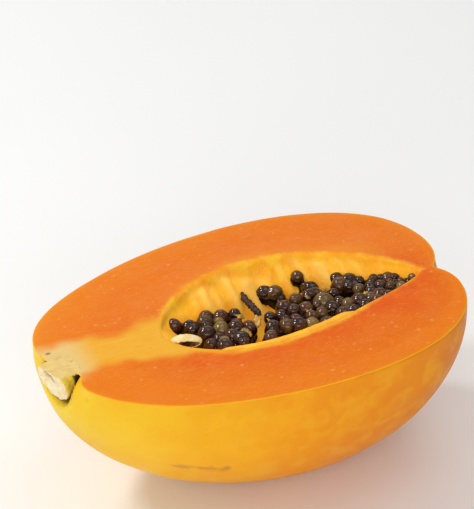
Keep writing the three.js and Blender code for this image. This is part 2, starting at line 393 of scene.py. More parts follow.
# Shader building


class Graph:
    """A node tree under construction, with a short call for each kind of node."""

    def __init__(self, tree: bpy.types.NodeTree) -> None:
        """Keeps the tree that the nodes go into."""
        self.tree = tree

    def node(self, kind: str, **settings: object) -> bpy.types.Node:
        """Adds a node and sets its properties."""
        made = self.tree.nodes.new(kind)
        for name, value in settings.items():
            setattr(made, name, value)
        return made

    def feed(self, socket: bpy.types.NodeSocket, value: object) -> None:
        """Links an output to a socket, or sets the socket's own value."""
        if isinstance(value, bpy.types.NodeSocket):
            self.tree.links.new(value, socket)
        elif isinstance(value, str):
            socket.default_value = linear(value)
        else:
            socket.default_value = value

    def math(self, operation: str, first: object, second: object = 0.0) -> bpy.types.NodeSocket:
        """Returns the output of a Math node."""
        made = self.node("ShaderNodeMath", operation=operation)
        self.feed(made.inputs[0], first)
        self.feed(made.inputs[1], second)
        return made.outputs[0]

    def times(self, first: object, second: object) -> bpy.types.NodeSocket:
        """Returns the product of two values."""
        return self.math("MULTIPLY", first, second)

    def plus(self, first: object, second: object) -> bpy.types.NodeSocket:
        """Returns the sum of two values."""
        return self.math("ADD", first, second)

    def less(self, first: object, second: object) -> bpy.types.NodeSocket:
        """Returns the first value less the second."""
        return self.math("SUBTRACT", first, second)

    def mix(self, share: object, first: object, second: object) -> bpy.types.NodeSocket:
        """Returns a colour mixed from two."""
        made = self.node("ShaderNodeMix", data_type="RGBA")
        self.feed(made.inputs[0], share)
        self.feed(made.inputs[6], first)
        self.feed(made.inputs[7], second)
        return made.outputs[2]

    def ramp(self, share: object, stops: tuple[tuple[float, str], ...]) -> bpy.types.NodeSocket:
        """Returns a colour from a ramp of (place, colour code) stops."""
        made = self.node("ShaderNodeValToRGB")
        made.color_ramp.interpolation = "EASE"
        elements = made.color_ramp.elements
        while len(elements) < len(stops):
            elements.new(0.5)
        for element, (place, code) in zip(elements, stops):
            element.position = place
            element.color = linear(code)
        self.feed(made.inputs[0], share)
        return made.outputs[0]

    def between(self, value: object, low: float, high: float) -> bpy.types.NodeSocket:
        """Returns 0 below low, 1 above high and a smooth rise between; high may be the lower."""
        made = self.node("ShaderNodeMapRange", interpolation_type="SMOOTHSTEP")
        self.feed(made.inputs["Value"], value)
        self.feed(made.inputs["From Min"], min(low, high))
        self.feed(made.inputs["From Max"], max(low, high))
        self.feed(made.inputs["To Min"], 0.0 if low < high else 1.0)
        self.feed(made.inputs["To Max"], 1.0 if low < high else 0.0)
        return made.outputs["Result"]

    def noise(
        self, place: object, scale: object, detail: float = 3.0, warp: float = 0.0
    ) -> bpy.types.NodeSocket:
        """Returns the value of a noise texture."""
        made = self.node("ShaderNodeTexNoise")
        self.feed(made.inputs["Vector"], place)
        self.feed(made.inputs["Scale"], scale)
        made.inputs["Detail"].default_value = detail
        made.inputs["Distortion"].default_value = warp
        return made.outputs["Fac"]

    def stretched(self, place: object, scale: object) -> bpy.types.NodeSocket:
        """Returns coordinates scaled by a different amount along each axis."""
        made = self.node("ShaderNodeVectorMath", operation="MULTIPLY")
        self.feed(made.inputs[0], place)
        self.feed(made.inputs[1], scale)
        return made.outputs[0]

    def stored(self, name: str) -> bpy.types.NodeSocket:
        """Returns a number that is stored on the mesh."""
        return self.node("ShaderNodeAttribute", attribute_name=name).outputs["Fac"]

    def place(self) -> bpy.types.NodeSocket:
        """Returns the object coordinates."""
        return self.node("ShaderNodeTexCoord").outputs["Object"]

    def axis(self, place: bpy.types.NodeSocket, letter: str) -> bpy.types.NodeSocket:
        """Returns X, Y or Z of some coordinates."""
        made = self.node("ShaderNodeSeparateXYZ")
        self.feed(made.inputs[0], place)
        return made.outputs[letter]

    def bump(self, height: object, strength: float, distance: float) -> bpy.types.NodeSocket:
        """Returns a normal from a height."""
        made = self.node("ShaderNodeBump")
        made.inputs["Strength"].default_value = strength
        made.inputs["Distance"].default_value = distance
        self.feed(made.inputs["Height"], height)
        return made.outputs["Normal"]


class Effect(Enum):
    """The shared effects, each a shader node group that is built once."""

    MOTTLE = "mottle"
    FIBRES = "fibres"
    SPECKS = "specks"
    WET = "wet_surface"

    def group(self) -> bpy.types.NodeTree:
        """Returns the effect's node group, and builds it the first time."""
        found = bpy.data.node_groups.get(self.value)
        if found:
            return found
        made = bpy.data.node_groups.new(self.value, "ShaderNodeTree")
        build = {
            Effect.MOTTLE: build_mottle,
            Effect.FIBRES: build_fibres,
            Effect.SPECKS: build_specks,
            Effect.WET: build_wet,
        }[self]
        build(made)
        return made


def sockets(tree: bpy.types.NodeTree, inputs: dict[str, tuple], outputs: dict[str, str]) -> tuple:
    """Gives a group its named inputs and outputs.

    Args:
        tree: The new node group.
        inputs: For each input its socket kind and its value.
        outputs: For each output its socket kind.

    Returns:
        The graph, the group's input node and its output node.
    """
    for name, (kind, value) in inputs.items():
        socket = tree.interface.new_socket(name=name, in_out="INPUT", socket_type=kind)
        if value is not None:
            socket.default_value = value
    for name, kind in outputs.items():
        tree.interface.new_socket(name=name, in_out="OUTPUT", socket_type=kind)
    graph = Graph(tree)
    return graph, graph.node("NodeGroupInput"), graph.node("NodeGroupOutput")


NUMBER, COLOUR, VECTOR = "NodeSocketFloat", "NodeSocketColor", "NodeSocketVector"


def build_mottle(tree: bpy.types.NodeTree) -> None:
    """Builds the effect that lets soft clouds of a second colour into a first."""
    inputs = {
        "Place": (VECTOR, None),
        "Scale": (NUMBER, 60.0),
        "Colour": (COLOUR, None),
        "Cloud": (COLOUR, None),
        "Amount": (NUMBER, 0.5),
    }
    graph, into, out = sockets(tree, inputs, {"Colour": COLOUR})
    cloud = graph.noise(into.outputs["Place"], into.outputs["Scale"], 5.0, 0.4)
    share = graph.times(graph.between(cloud, 0.4, 0.68), into.outputs["Amount"])
    mixed = graph.mix(share, into.outputs["Colour"], into.outputs["Cloud"])
    graph.feed(out.inputs["Colour"], mixed)


def build_fibres(tree: bpy.types.NodeTree) -> None:
    """Builds the effect of fine fibres that run along the least stretched axis."""
    inputs = {"Place": (VECTOR, None), "Stretch": (VECTOR, None), "Thin": (NUMBER, 0.08)}
    graph, into, out = sockets(tree, inputs, {"Mask": NUMBER})
    place = graph.stretched(into.outputs["Place"], into.outputs["Stretch"])
    line = graph.noise(place, 1.0, 4.0, 0.6)
    off = graph.math("ABSOLUTE", graph.less(line, 0.5))
    share = graph.math("DIVIDE", off, into.outputs["Thin"])
    graph.feed(out.inputs["Mask"], graph.between(share, 1.0, 0.1))


def build_specks(tree: bpy.types.NodeTree) -> None:
    """Builds the effect of small scattered specks."""
    inputs = {"Place": (VECTOR, None), "Scale": (NUMBER, 300.0), "Size": (NUMBER, 0.2)}
    graph, into, out = sockets(tree, inputs, {"Mask": NUMBER})
    cells = graph.node("ShaderNodeTexVoronoi")
    graph.feed(cells.inputs["Vector"], into.outputs["Place"])
    graph.feed(cells.inputs["Scale"], into.outputs["Scale"])
    picked = graph.between(graph.axis(cells.outputs["Color"], "X"), 0.45, 0.9)
    size = graph.times(picked, into.outputs["Size"])
    share = graph.math("DIVIDE", cells.outputs["Distance"], graph.plus(size, 0.001))
    graph.feed(out.inputs["Mask"], graph.between(share, 1.0, 0.3))


def build_wet(tree: bpy.types.NodeTree) -> None:
    """Builds the effect of an uneven wet surface: a roughness and a height."""
    inputs = {
        "Place": (VECTOR, None),
        "Scale": (NUMBER, 300.0),
        "Dry": (NUMBER, 0.5),
        "Wet": (NUMBER, 0.2),
    }
    graph, into, out = sockets(tree, inputs, {"Roughness": NUMBER, "Height": NUMBER})
    coarse = graph.noise(into.outputs["Place"], into.outputs["Scale"], 3.0)
    finer = graph.times(into.outputs["Scale"], 5.3)
    fine = graph.noise(into.outputs["Place"], finer, 4.0)
    share = graph.between(coarse, 0.35, 0.65)
    gap = graph.less(into.outputs["Dry"], into.outputs["Wet"])
    rough = graph.plus(into.outputs["Wet"], graph.times(share, gap))
    graph.feed(out.inputs["Roughness"], rough)
    height = graph.plus(coarse, graph.times(fine, 0.3))
    graph.feed(out.inputs["Height"], height)


class Paint(Graph):
    """A material's node tree, with a short call for each shared effect."""

    def effect(self, kind: Effect, output: str, **inputs: object) -> bpy.types.NodeSocket:
        """Places an effect's node group with its own values, and returns one of its outputs."""
        made = self.node("ShaderNodeGroup", node_tree=kind.group())
        for name, value in inputs.items():
            self.feed(made.inputs[name], value)
        return made.outputs[output]

    def mottle(
        self, place: object, scale: float, colour: object, cloud: str, amount: float
    ) -> bpy.types.NodeSocket:
        """Returns a colour with soft clouds of a second one let into it."""
        clouds = {"Scale": scale, "Colour": colour, "Cloud": cloud, "Amount": amount}
        return self.effect(Effect.MOTTLE, "Colour", Place=place, **clouds)

    def fibres(self, place: object, stretch: tuple, thin: float) -> bpy.types.NodeSocket:
        """Returns the mask of fine fibres."""
        return self.effect(Effect.FIBRES, "Mask", Place=place, Stretch=stretch, Thin=thin)

    def specks(self, place: object, scale: float, size: float) -> bpy.types.NodeSocket:
        """Returns the mask of small scattered specks."""
        return self.effect(Effect.SPECKS, "Mask", Place=place, Scale=scale, Size=size)

    def wet(self, place: object, scale: float, dry: float, wet: float) -> bpy.types.NodeSocket:
        """Returns an uneven roughness between a wet and a dry one."""
        return self.effect(Effect.WET, "Roughness", Place=place, Scale=scale, Dry=dry, Wet=wet)

    def relief(self, place: object, scale: float) -> bpy.types.NodeSocket:
        """Returns the height of fine unevenness."""
        return self.effect(Effect.WET, "Height", Place=place, Scale=scale)

    def drift(
        self, place: object, scale: float, detail: float, amount: float
    ) -> bpy.types.NodeSocket:
        """Returns noise round 0, amount from its lowest to its highest."""
        return self.times(self.less(self.noise(place, scale, detail), 0.5), amount)


@dataclass(frozen=True)
class Finish:
    """A procedural finish; each kind paints its own colour, roughness and height."""

    name: str
    coat: float = 0.0
    coat_roughness: float = 0.1
    coat_ior: float = 1.5
    alpha: float = 1.0
    soft: float = 0.0  # share of the light that goes through the tissue
    soft_reach: float = 0.002
    specular: float = 0.5
    bump: float = 0.3
    bump_height: float = 0.0005

    def paint(self, graph: Paint) -> tuple[object, object, object]:
        """Returns the colour, roughness and height; each kind of finish has its own."""
        raise NotImplementedError

    def painted_glow(self, graph: Paint, shader: bpy.types.Node, colour: object) -> None:
        """Adds painted light to the surface as emission; most finishes have none."""

    def material(self) -> bpy.types.Material:
        """Returns the finish as a material, built the first time."""
        found = bpy.data.materials.get(self.name)
        if found:
            return found
        made = bpy.data.materials.new(self.name)
        made.use_nodes = True
        graph = Paint(made.node_tree)
        shader = made.node_tree.nodes["Principled BSDF"]
        colour, rough, height = self.paint(graph)
        graph.feed(shader.inputs["Base Color"], colour)
        graph.feed(shader.inputs["Roughness"], rough)
        self.painted_glow(graph, shader, colour)
        graph.feed(shader.inputs["Normal"], graph.bump(height, self.bump, self.bump_height))
        shader.inputs["Coat Weight"].default_value = self.coat
        shader.inputs["Coat Roughness"].default_value = self.coat_roughness
        shader.inputs["Coat IOR"].default_value = self.coat_ior
        shader.inputs["Alpha"].default_value = self.alpha
        shader.inputs["Specular IOR Level"].default_value = self.specular
        shader.inputs["Subsurface Weight"].default_value = self.soft
        shader.inputs["Subsurface Radius"].default_value = (1.0, 0.45, 0.15)
        shader.inputs["Subsurface Scale"].default_value = self.soft_reach
        return made


@dataclass(frozen=True)
class FleshFinish(Finish):
    """Ripe flesh: yellow under the skin, red towards the hollow, with a yellow soft lining."""

    near_side: tuple = (
        (0.0, "ea840e"),
        (0.07, "ea7a0d"),
        (0.22, "eb7a10"),
        (0.5, "e66e0c"),
        (0.8, "e4620a"),
        (1.0, "e35a0c"),
    )
    # Paler than the near side: partly the flesh's own colour, partly a painted sheen where the flat
    # cut catches light at a grazing angle.
    far_side: tuple = (
        (0.0, "ee9022"),
        (0.1, "ea7d18"),
        (0.4, "e8761a"),
        (0.75, "ea7a22"),
        (1.0, "ee8c26"),
    )
    lining: tuple = ((0.0, "f7a81c"), (0.25, "ffb426"), (0.6, "ffa824"), (1.0, "f28e1e"))
    pale_tissue: str = "efb034"
    stem_tissue: str = "e8c67e"
    fold_tissue: str = "ffc355"
    fibre: str = "fbd683"
    # painted highlight: the thin skin edge under the cut catching light
    edge_highlight: str = "f8c430"
    # painted light: how strongly the hollow's lining glows to lift its shade
    painted_glow_strength: float = 0.38

    def flesh(self, graph: Paint, place: bpy.types.NodeSocket) -> bpy.types.NodeSocket:
        """Returns the colour of the cut flesh: orange, redder inwards and to the blossom end."""
        from_skin, from_hollow = graph.stored("from_skin"), graph.stored("from_hollow")
        drift = graph.drift(place, 45.0, 4.0, 0.4)
        drift = graph.plus(drift, graph.times(graph.axis(place, "X"), 1.6))
        whole = graph.plus(graph.plus(from_skin, from_hollow), 0.01)
        share = graph.math("DIVIDE", from_skin, whole)
        inner = graph.between(share, 0.02, 0.3)
        share = graph.plus(share, graph.times(drift, inner))
        # The far side of the cut is painted paler: partly its own colour, partly a painted sheen.
        side = graph.between(graph.axis(place, "Y"), -0.004, 0.03)
        flesh = graph.mix(side, graph.ramp(share, self.near_side), graph.ramp(share, self.far_side))
        flesh = graph.mottle(place, 70.0, flesh, "ea7c14", 0.35)
        flecks = graph.fibres(place, (160.0, 620.0, 620.0), 0.035)
        flesh = graph.mix(graph.times(flecks, 0.24), flesh, "f2a04c")
        specks = graph.specks(place, 230.0, 0.3)
        return graph.mix(graph.times(specks, 0.35), flesh, "f5ab5e")

    def hollow_wall(self, graph: Paint, place: bpy.types.NodeSocket) -> tuple[object, object]:
        """Returns the colour of the soft lining, and the mask of its fibres."""
        fibres = graph.fibres(place, (300.0, 110.0, 110.0), 0.06)
        wall = graph.ramp(graph.stored("wall"), self.lining)
        wall = graph.mottle(place, 120.0, wall, "ffc634", 0.75)
        wall = graph.mottle(place, 85.0, wall, "f68a18", 0.5)
        wall = graph.mix(graph.times(graph.stored("fold"), 0.8), wall, self.fold_tissue)
        return graph.mix(graph.times(fibres, 0.1), wall, self.fibre), fibres

    def paint(self, graph: Paint) -> tuple[object, object, object]:
        """Returns the colour, roughness and height of the cut face and of the hollow's wall."""
        place = graph.place()
        from_skin = graph.stored("from_skin")
        ragged = graph.drift(place, 150.0, 5.0, 5.0)
        lip = graph.plus(graph.stored("lip"), ragged)
        past_lip = graph.less(graph.stored("from_hollow"), lip)
        into_lip = graph.between(past_lip, 2.2, -1.8)
        wall, fibres = self.hollow_wall(graph, place)
        colour = graph.mix(into_lip, self.flesh(graph, place), wall)

        grain = graph.fibres(place, (60.0, 500.0, 500.0), 0.08)
        pale = graph.mix(graph.times(grain, 0.4), self.pale_tissue, "f09e1c")
        near_stem = graph.between(graph.axis(place, "X"), -0.070, -0.086)
        pale = graph.mix(near_stem, pale, self.stem_tissue)
        colour = graph.mix(graph.stored("funnel"), colour, pale)

        colour = graph.mix(graph.stored("nick"), colour, "7a5212")
        # A thin yellow line along the skin's edge under the cut: a painted highlight where the edge
        # catches light.
        edge = graph.plus(from_skin, graph.times(ragged, 0.06))
        line = graph.times(graph.between(edge, 0.8, 0.1), 0.6)
        colour = graph.mix(line, colour, self.edge_highlight)

        wet = graph.wet(place, 170.0, 0.55, 0.34)
        height = graph.relief(place, 380.0)
        return colour, wet, graph.plus(height, graph.times(fibres, into_lip))

    def painted_glow(self, graph: Paint, shader: bpy.types.Node, colour: object) -> None:
        """Paints light into the hollow's lining as emission, to lift the shade on its wall; the
        stem end gets twice as much.
        """
        stem_end = graph.between(graph.axis(graph.place(), "X"), 0.012, -0.022)
        more = graph.plus(graph.times(stem_end, 0.5), 0.5)
        share = graph.times(graph.between(graph.stored("wall"), 0.02, 0.3), more)
        graph.feed(shader.inputs["Emission Color"], graph.mix(share, "000000", colour))
        shader.inputs["Emission Strength"].default_value = self.painted_glow_strength


@dataclass(frozen=True)
class SkinFinish(Finish):
    """Ripe skin: yellow at the stem end, orange towards the blossom end, with small marks."""

    along: tuple = (
        (0.0, "f6d63c"),
        (0.12, "f3c426"),
        (0.3, "f0ae18"),
        (0.5, "ed9612"),
        (0.72, "e68612"),
        (1.0, "da7a12"),
    )

    def paint(self, graph: Paint) -> tuple[object, object, object]:
        """Returns the colour, roughness and height of the skin."""
        place = graph.place()
        share = graph.math("DIVIDE", graph.plus(graph.axis(place, "X"), 0.1), 0.2)
        drift = graph.drift(place, 22.0, 3.0, 0.3)
        colour = graph.ramp(graph.plus(share, drift), self.along)
        colour = graph.mottle(place, 30.0, colour, "ea920f", 0.28)
        colour = graph.mottle(place, 95.0, colour, "f5bb20", 0.3)
        pores = graph.specks(place, 330.0, 0.22)
        colour = graph.mix(graph.times(pores, 0.25), colour, "c98a22")
        marks = graph.specks(place, 60.0, 0.16)
        colour = graph.mix(graph.times(marks, 0.4), colour, "a3702c")
        scratch = graph.stored("scratch")
        colour = graph.mix(scratch, colour, "b0713c")
        # Dark brown in the socket round the stub: partly a brown scar, partly painted shade in the
        # crease.
        colour = graph.mix(graph.stored("socket"), colour, "54230f")
        wet = graph.wet(place, 60.0, 0.5, 0.36)
        height = graph.relief(place, 130.0)
        height = graph.less(height, graph.times(pores, 0.35))
        height = graph.less(height, graph.times(scratch, 0.5))
        return colour, wet, height


@dataclass(frozen=True)
class StemFinish(Finish):
    """The stalk: a pale cut end, green-tan sides with streaks, and a dark root, partly a dried scar
    and partly painted shade where it sinks into the fruit.
    """

    def paint(self, graph: Paint) -> tuple[object, object, object]:
        """Returns the colour, roughness and height of the stalk."""
        place = graph.place()
        cut, root, slit = graph.stored("cut"), graph.stored("root"), graph.stored("slit")
        sliced = graph.stored("sliced")
        streaks = graph.fibres(place, (90.0, 520.0, 520.0), 0.09)
        side = graph.mix(graph.times(streaks, 0.7), "e6c834", "eed060")
        side = graph.mottle(place, 220.0, side, "dcac2e", 0.6)
        face = graph.mottle(place, 260.0, "fff0c8", "fbd890", 0.8)
        top = graph.mottle(place, 200.0, "efcf84", "e6bf66", 0.7)
        specks = graph.specks(place, 330.0, 0.25)
        colour = graph.mix(cut, side, face)
        colour = graph.mix(sliced, colour, top)
        colour = graph.mix(graph.times(specks, 0.5), colour, "a87f3a")
        # Dark brown at the root: partly a dried scar, partly painted shade in the crease round it.
        colour = graph.mix(root, colour, "4e2511")
        colour = graph.mix(slit, colour, "6e5330")
        height = graph.relief(place, 420.0)
        height = graph.plus(height, graph.times(streaks, 0.8))
        return colour, 0.62, height


@dataclass(frozen=True)
class SeedFinish(Finish):
    """Wet seeds: nearly black, maroon or olive by the seed, with a wrinkled shiny coat."""

    tones: tuple = (
        (0.0, "140803"),
        (0.35, "2e1407"),
        (0.6, "52290d"),
        (0.8, "5c4519"),
        (1.0, "8c7030"),
    )

    def paint(self, graph: Paint) -> tuple[object, object, object]:
        """Returns the colour, roughness and height of the seeds."""
        place = graph.place()
        tone = graph.stored("tone")
        drift = graph.drift(place, 380.0, 3.0, 0.5)
        colour = graph.ramp(graph.plus(tone, drift), self.tones)
        colour = graph.mottle(place, 600.0, colour, "64300f", 0.55)
        wet = graph.wet(place, 500.0, 0.4, 0.16)
        height = graph.relief(place, 520.0)
        return colour, wet, height


@dataclass(frozen=True)
class TissueFinish(Finish):
    """Soft or dried tissue: sacs, flakes, the strand, the empty seed coat, and the near-black pulp,
    which is partly painted shade.
    """

    colour: str = "f6cf74"
    cloud: str = "e9a93a"
    scale: float = 240.0
    rough: float = 0.42

    def paint(self, graph: Paint) -> tuple[object, object, object]:
        """Returns the colour, roughness and height of the tissue."""
        place = graph.place()
        colour = graph.mottle(place, self.scale, self.colour, self.cloud, 0.85)
        inside = graph.stored("dark")
        colour = graph.mix(inside, colour, "3a1a0c")
        height = graph.relief(place, 520.0)
        return colour, self.rough, height


FLESH = FleshFinish(
    "ripe_flesh", soft=0.12, soft_reach=0.003, specular=0.09, bump=0.25, bump_height=0.0006
)
SKIN = SkinFinish("ripe_skin", specular=0.12, soft=0.05, bump=0.2, bump_height=0.0008)
STEM = StemFinish("stem_tissue", soft=0.08, specular=0.2, bump=0.5, bump_height=0.0008)
SEED = SeedFinish(
    "wet_seed",
    coat=0.75,
    coat_roughness=0.04,
    coat_ior=1.6,
    specular=0.05,
    bump=0.22,
    bump_height=0.0006,
)
# Near-black pulp: partly wet pulp, partly painted shade in the gaps under and between the seeds.
PULP_AND_SHADE = TissueFinish(
    "pulp_and_painted_shade", colour="160904", cloud="301a09", rough=0.3, coat=0.3, specular=0.1, bump=0.4
)
COAT = TissueFinish("pale_coat", colour="fbe7b0", cloud="f0cf7a", soft=0.3, bump=0.3)
FLAKE = TissueFinish("tan_flake", colour="dba53e", cloud="946626", rough=0.3, bump=0.4)
SAC = TissueFinish(
    "clear_sac", colour="96702c", cloud="5a3a14", rough=0.12, coat=1.0, specular=0.3, alpha=0.2
)
STRAND = TissueFinish("dried_tissue", colour="3a2016", cloud="1c0e09", rough=0.5, bump=0.6)


# Pieces


@dataclass
class Piece:
    """A piece of the papaya: built, dressed and set on the body it rides on."""

    name: str
    slot: str
    finishes: tuple[Finish, ...]
    stands_for: tuple[str, ...] = ()

    def build(self) -> bpy.types.Object:
        """Returns the piece's mesh; each kind of piece has its own."""
        raise NotImplementedError

    def make(self) -> bpy.types.Object:
        """Builds the piece, dresses it and sets it on the root body.

        Returns:
            The finished object.
        """
        made = self.build()
        for finish in self.finishes:
            made.data.materials.append(finish.material())
        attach(made, "root")
        if self.stands_for:
            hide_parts(*self.stands_for)
        made.data.calc_loop_triangles()
        LOG.info("%s: %d triangles", made.name, len(made.data.loop_triangles))
        return made


@dataclass
class StubShape:
    """Where the stem stub stands, and its outline from root to tip."""

    radius: float = 9.8
    tip: Vector = field(default_factory=lambda: Vector((-98.2, -6.4, -7.6)))
    aim: Vector = field(default_factory=lambda: Vector((-0.91, -0.22, -0.34)).normalized())
    pith: tuple[float, float, float] = (3.0, 3.4, 1.9)  # place, half-length and half-width
    outline: tuple = (
        (-16.0, 0.0),
        (-15.5, 0.55),
        (-13.8, 0.88),
        (-9.6, 0.96),
        (-5.6, 0.93),
        (-1.3, 1.0),
        (0.0, 0.96),
    )

    def split(self, points: np.ndarray) -> tuple[np.ndarray, np.ndarray]:
        """Returns how far along the stub each point lies, and how far from its middle line."""
        away = points - np.array(self.tip)
        along = away @ np.array(self.aim)
        return along, np.linalg.norm(away - along[:, None] * np.array(self.aim), axis=1)

    def cross(self) -> tuple[np.ndarray, np.ndarray]:
        """Returns the two directions across the stub, the second one upwards."""
        side = np.array(self.aim.cross(Vector((0, 0, 1))).normalized())
        return side, np.cross(side, np.array(self.aim))

    def pit(self, points: np.ndarray) -> np.ndarray:
        """Returns how strongly each point lies in the open pith of the cut end, from 0 to 1."""
        long_way = np.array(self.aim.cross(Vector(TO_CAMERA)).normalized())
        short_way = np.cross(np.array(self.aim), long_way)
        away = points - np.array(self.tip)
        place, half_length, half_width = self.pith
        along = (away @ long_way - place) / half_length
        reach = np.hypot(along, (away @ short_way) / half_width)
        return smooth_step(reach, 1.25, 0.6)

    def width(self, along: np.ndarray) -> np.ndarray:
        """Returns the stub's radius at each distance along it."""
        places, shares = zip(*self.outline)
        return self.radius * np.interp(along, places, shares)


STUB = StubShape()


@dataclass
class FruitHalf(Piece):
    """The flesh and skin, grown as one: skin outside, the cut face and the hollow's wall."""

    rings: int = 246
    skin_points: int = 112
    cut_points: int = 252
    edge_round: float = 0.55
    ledge_out: float = 3.2
    ledge_in: float = 4.6
    ledge_slope: float = 0.3
    stem_slope: float = 0.92
    stem_slope_end: float = -24.0
    stem_slope_round: float = 3.0
    far_rim_round: float = 3.9
    near_rim_round: float = 1.2
    far_lip: float = 2.4
    nick: tuple[float, float, float] = (-93.7, 6.7, 0.0)
    socket_gap: float = 0.35
    socket_open: float = 2.0
    folds: tuple = (
        (-16.5, 0.30, 1.6, 1.2),
        (-10.4, 0.36, 3.2, 2.9),
        (-3.4, 0.50, 1.9, 1.8),
        (3.2, 0.34, 2.4, 2.9),
        (13.2, 0.52, 4.4, 3.8),
        (22.4, 0.60, 2.8, 2.6),
        (30.6, 0.36, 1.5, 1.6),
        (38.7, 0.30, 2.0, 2.0),
        (48.3, 0.44, 3.4, 3.6),
        (56.5, 0.30, 1.6, 1.5),
        (62.4, 0.36, 2.2, 1.8),
    )
    funnel: tuple = (
        (-98.0, -3.4, 12.0),
        (-88.0, -3.0, 12.2),
        (-79.0, -1.2, 10.6),
        (-72.0, -1.4, 9.4),
        (-65.0, -3.0, 8.2),
        (-59.0, -4.4, 9.0),
        (-53.0, -4.6, 11.0),
        (-45.0, -5.0, 13.4),
        (-36.0, -4.0, 15.0),
        (-28.0, -3.0, 15.5),
    )

    def top(self, x: np.ndarray, y: np.ndarray) -> np.ndarray:
        """Returns the height of the cut face and of the hollow's wall, ledge and folds included."""
        flat = np.stack((x, y, np.zeros_like(x)), axis=1)
        share, inside = HOLLOW.fall(x, y)
        deep = HOLLOW.deep(x)
        is_far = y > HOLLOW.middle(x)
        slope = np.where(is_far, deep * 1.61 / (HOLLOW.reach(x) + 0.5), 5.0)
        uneven = Ripple(11.0, 11, (1, 4, 1)).at(flat) * 0.7
        uneven = uneven + Ripple(5.0, 12, (1, 3, 1)).at(flat) * 0.3
        uneven = uneven + np.where(is_far, self.fold_rise(x, share), 0)
        uneven = uneven * smooth_step(share, 0.03, 0.25) * smooth_step(deep, 3, 16)
        wall = np.where(inside > 0, uneven - deep * share, -slope * inside)
        slope_in = -self.stem_slope * (x - HOLLOW.start)
        on_slope = (inside > 0) & (x < self.stem_slope_end)
        wall = np.where(on_slope, -smooth_min(-wall, -slope_in, self.stem_slope_round), wall)
        ledge = self.ledge_height(inside, wall)
        strength = np.where(is_far, 0, smooth_step(x, -34, -16) * smooth_step(x, 60, 38))
        wall = wall + strength * (ledge - wall)
        rim_round = np.where(is_far, self.far_rim_round, self.near_rim_round)
        soft = 0.15 + rim_round * smooth_step(HOLLOW.reach(x), 0, 13)
        wander = 0.16 * (Ripple(26.0, 21).at(flat) - 1.6) * smooth_step(-inside, -1, 6)
        cut = np.minimum(0, wander) * 0.6
        return np.where(HOLLOW.span(x) > 0, smooth_min(cut, wall, soft), cut)

    def ledge_height(self, inside: np.ndarray, wall: np.ndarray) -> np.ndarray:
        """Returns the height of the soft ledge that slopes from the near flesh to the seeds."""
        slope = -self.ledge_slope * np.clip(inside + self.ledge_out, 0, None)
        slope = slope - 1.7 * np.clip(inside - self.ledge_in, 0, None)
        slope = np.where(inside > self.ledge_in, np.maximum(wall, slope), slope)
        return np.where(inside < -self.ledge_out, -5 * (inside + self.ledge_out), slope)

    def fold_rise(self, x: np.ndarray, share: np.ndarray) -> np.ndarray:
        """Returns how far the soft folds stand out of the far wall."""
        rise = np.zeros_like(x)
        for middle, depth, width, height in self.folds:
            narrow = width * (1.25 - share)
            across = (x - middle - 8 * (share - depth)) / narrow
            down = (share - depth) / 0.3
            rise = rise + height * np.exp(-(across**2) - down**4)
        return rise

    def lip_at(self, x: np.ndarray, y: np.ndarray) -> np.ndarray:
        """Returns the width of the soft yellow lip beside the rim: wide on the near side."""
        near = self.ledge_out * smooth_step(x, -44, -20) * smooth_step(x, 62, 38)
        return np.where(y < HOLLOW.middle(x), near + 0.3, self.far_lip)

    def ring(self, share: float) -> np.ndarray:
        """Returns the closed section at one share of the length.

        Args:
            share: How far along the fruit, from 0 to 1.

        Returns:
            One row for each point: the skin from the near edge under to the far edge, then the
            cut face back to the near edge.
        """
        skin = FRUIT.skin(share, np.linspace(math.pi, 2 * math.pi, self.skin_points))
        skin[:, 2] = np.maximum(skin[:, 2], -FRUIT.depth + FRUIT.rest_flat)
        y = np.linspace(skin[-1, 1], skin[0, 1], 900)
        station = (share - 0.5) * FRUIT.length
        x = FRUIT.dented(np.full_like(y, station), y, np.zeros_like(y))
        z = self.top(x, y)
        edge = np.minimum(abs(y - y[0]), abs(y - y[-1]))
        rim = abs(HOLLOW.fall(x, y)[1])
        pace = 1 + 5 * np.exp(-((edge / 0.8) ** 2)) + 1.2 * np.exp(-((rim / 3) ** 2))
        steps = np.hypot(np.diff(y), np.diff(z)) * pace[1:]
        along = np.concatenate(([0], np.cumsum(steps)))
        picks = np.interp(np.linspace(0, along[-1], self.cut_points + 2)[1:-1], along, y)
        x = FRUIT.dented(np.full_like(picks, station), picks, np.zeros_like(picks))
        edge = np.minimum(abs(picks - y[0]), abs(picks - y[-1]))
        rounded = self.edge_round * (1 - smooth_step(edge, -0.4, 1.1))
        cut = np.stack((x, picks, self.top(x, picks) - rounded), axis=1)
        skin[[0, -1], 2] -= self.edge_round * 1.1
        return np.concatenate((skin, cut))

    def clear_stub(self, points: np.ndarray, on_cut: np.ndarray) -> np.ndarray:
        """Lowers the cut face where the stem stub stands in it, so that only the stub shows."""
        along, off = STUB.split(points)
        inside = np.minimum(STUB.width(along) - off, along + 11)
        points[:, 2] -= np.where(on_cut, 2.4 * smooth_step(inside, 1.0, 2.8), 0)
        return points

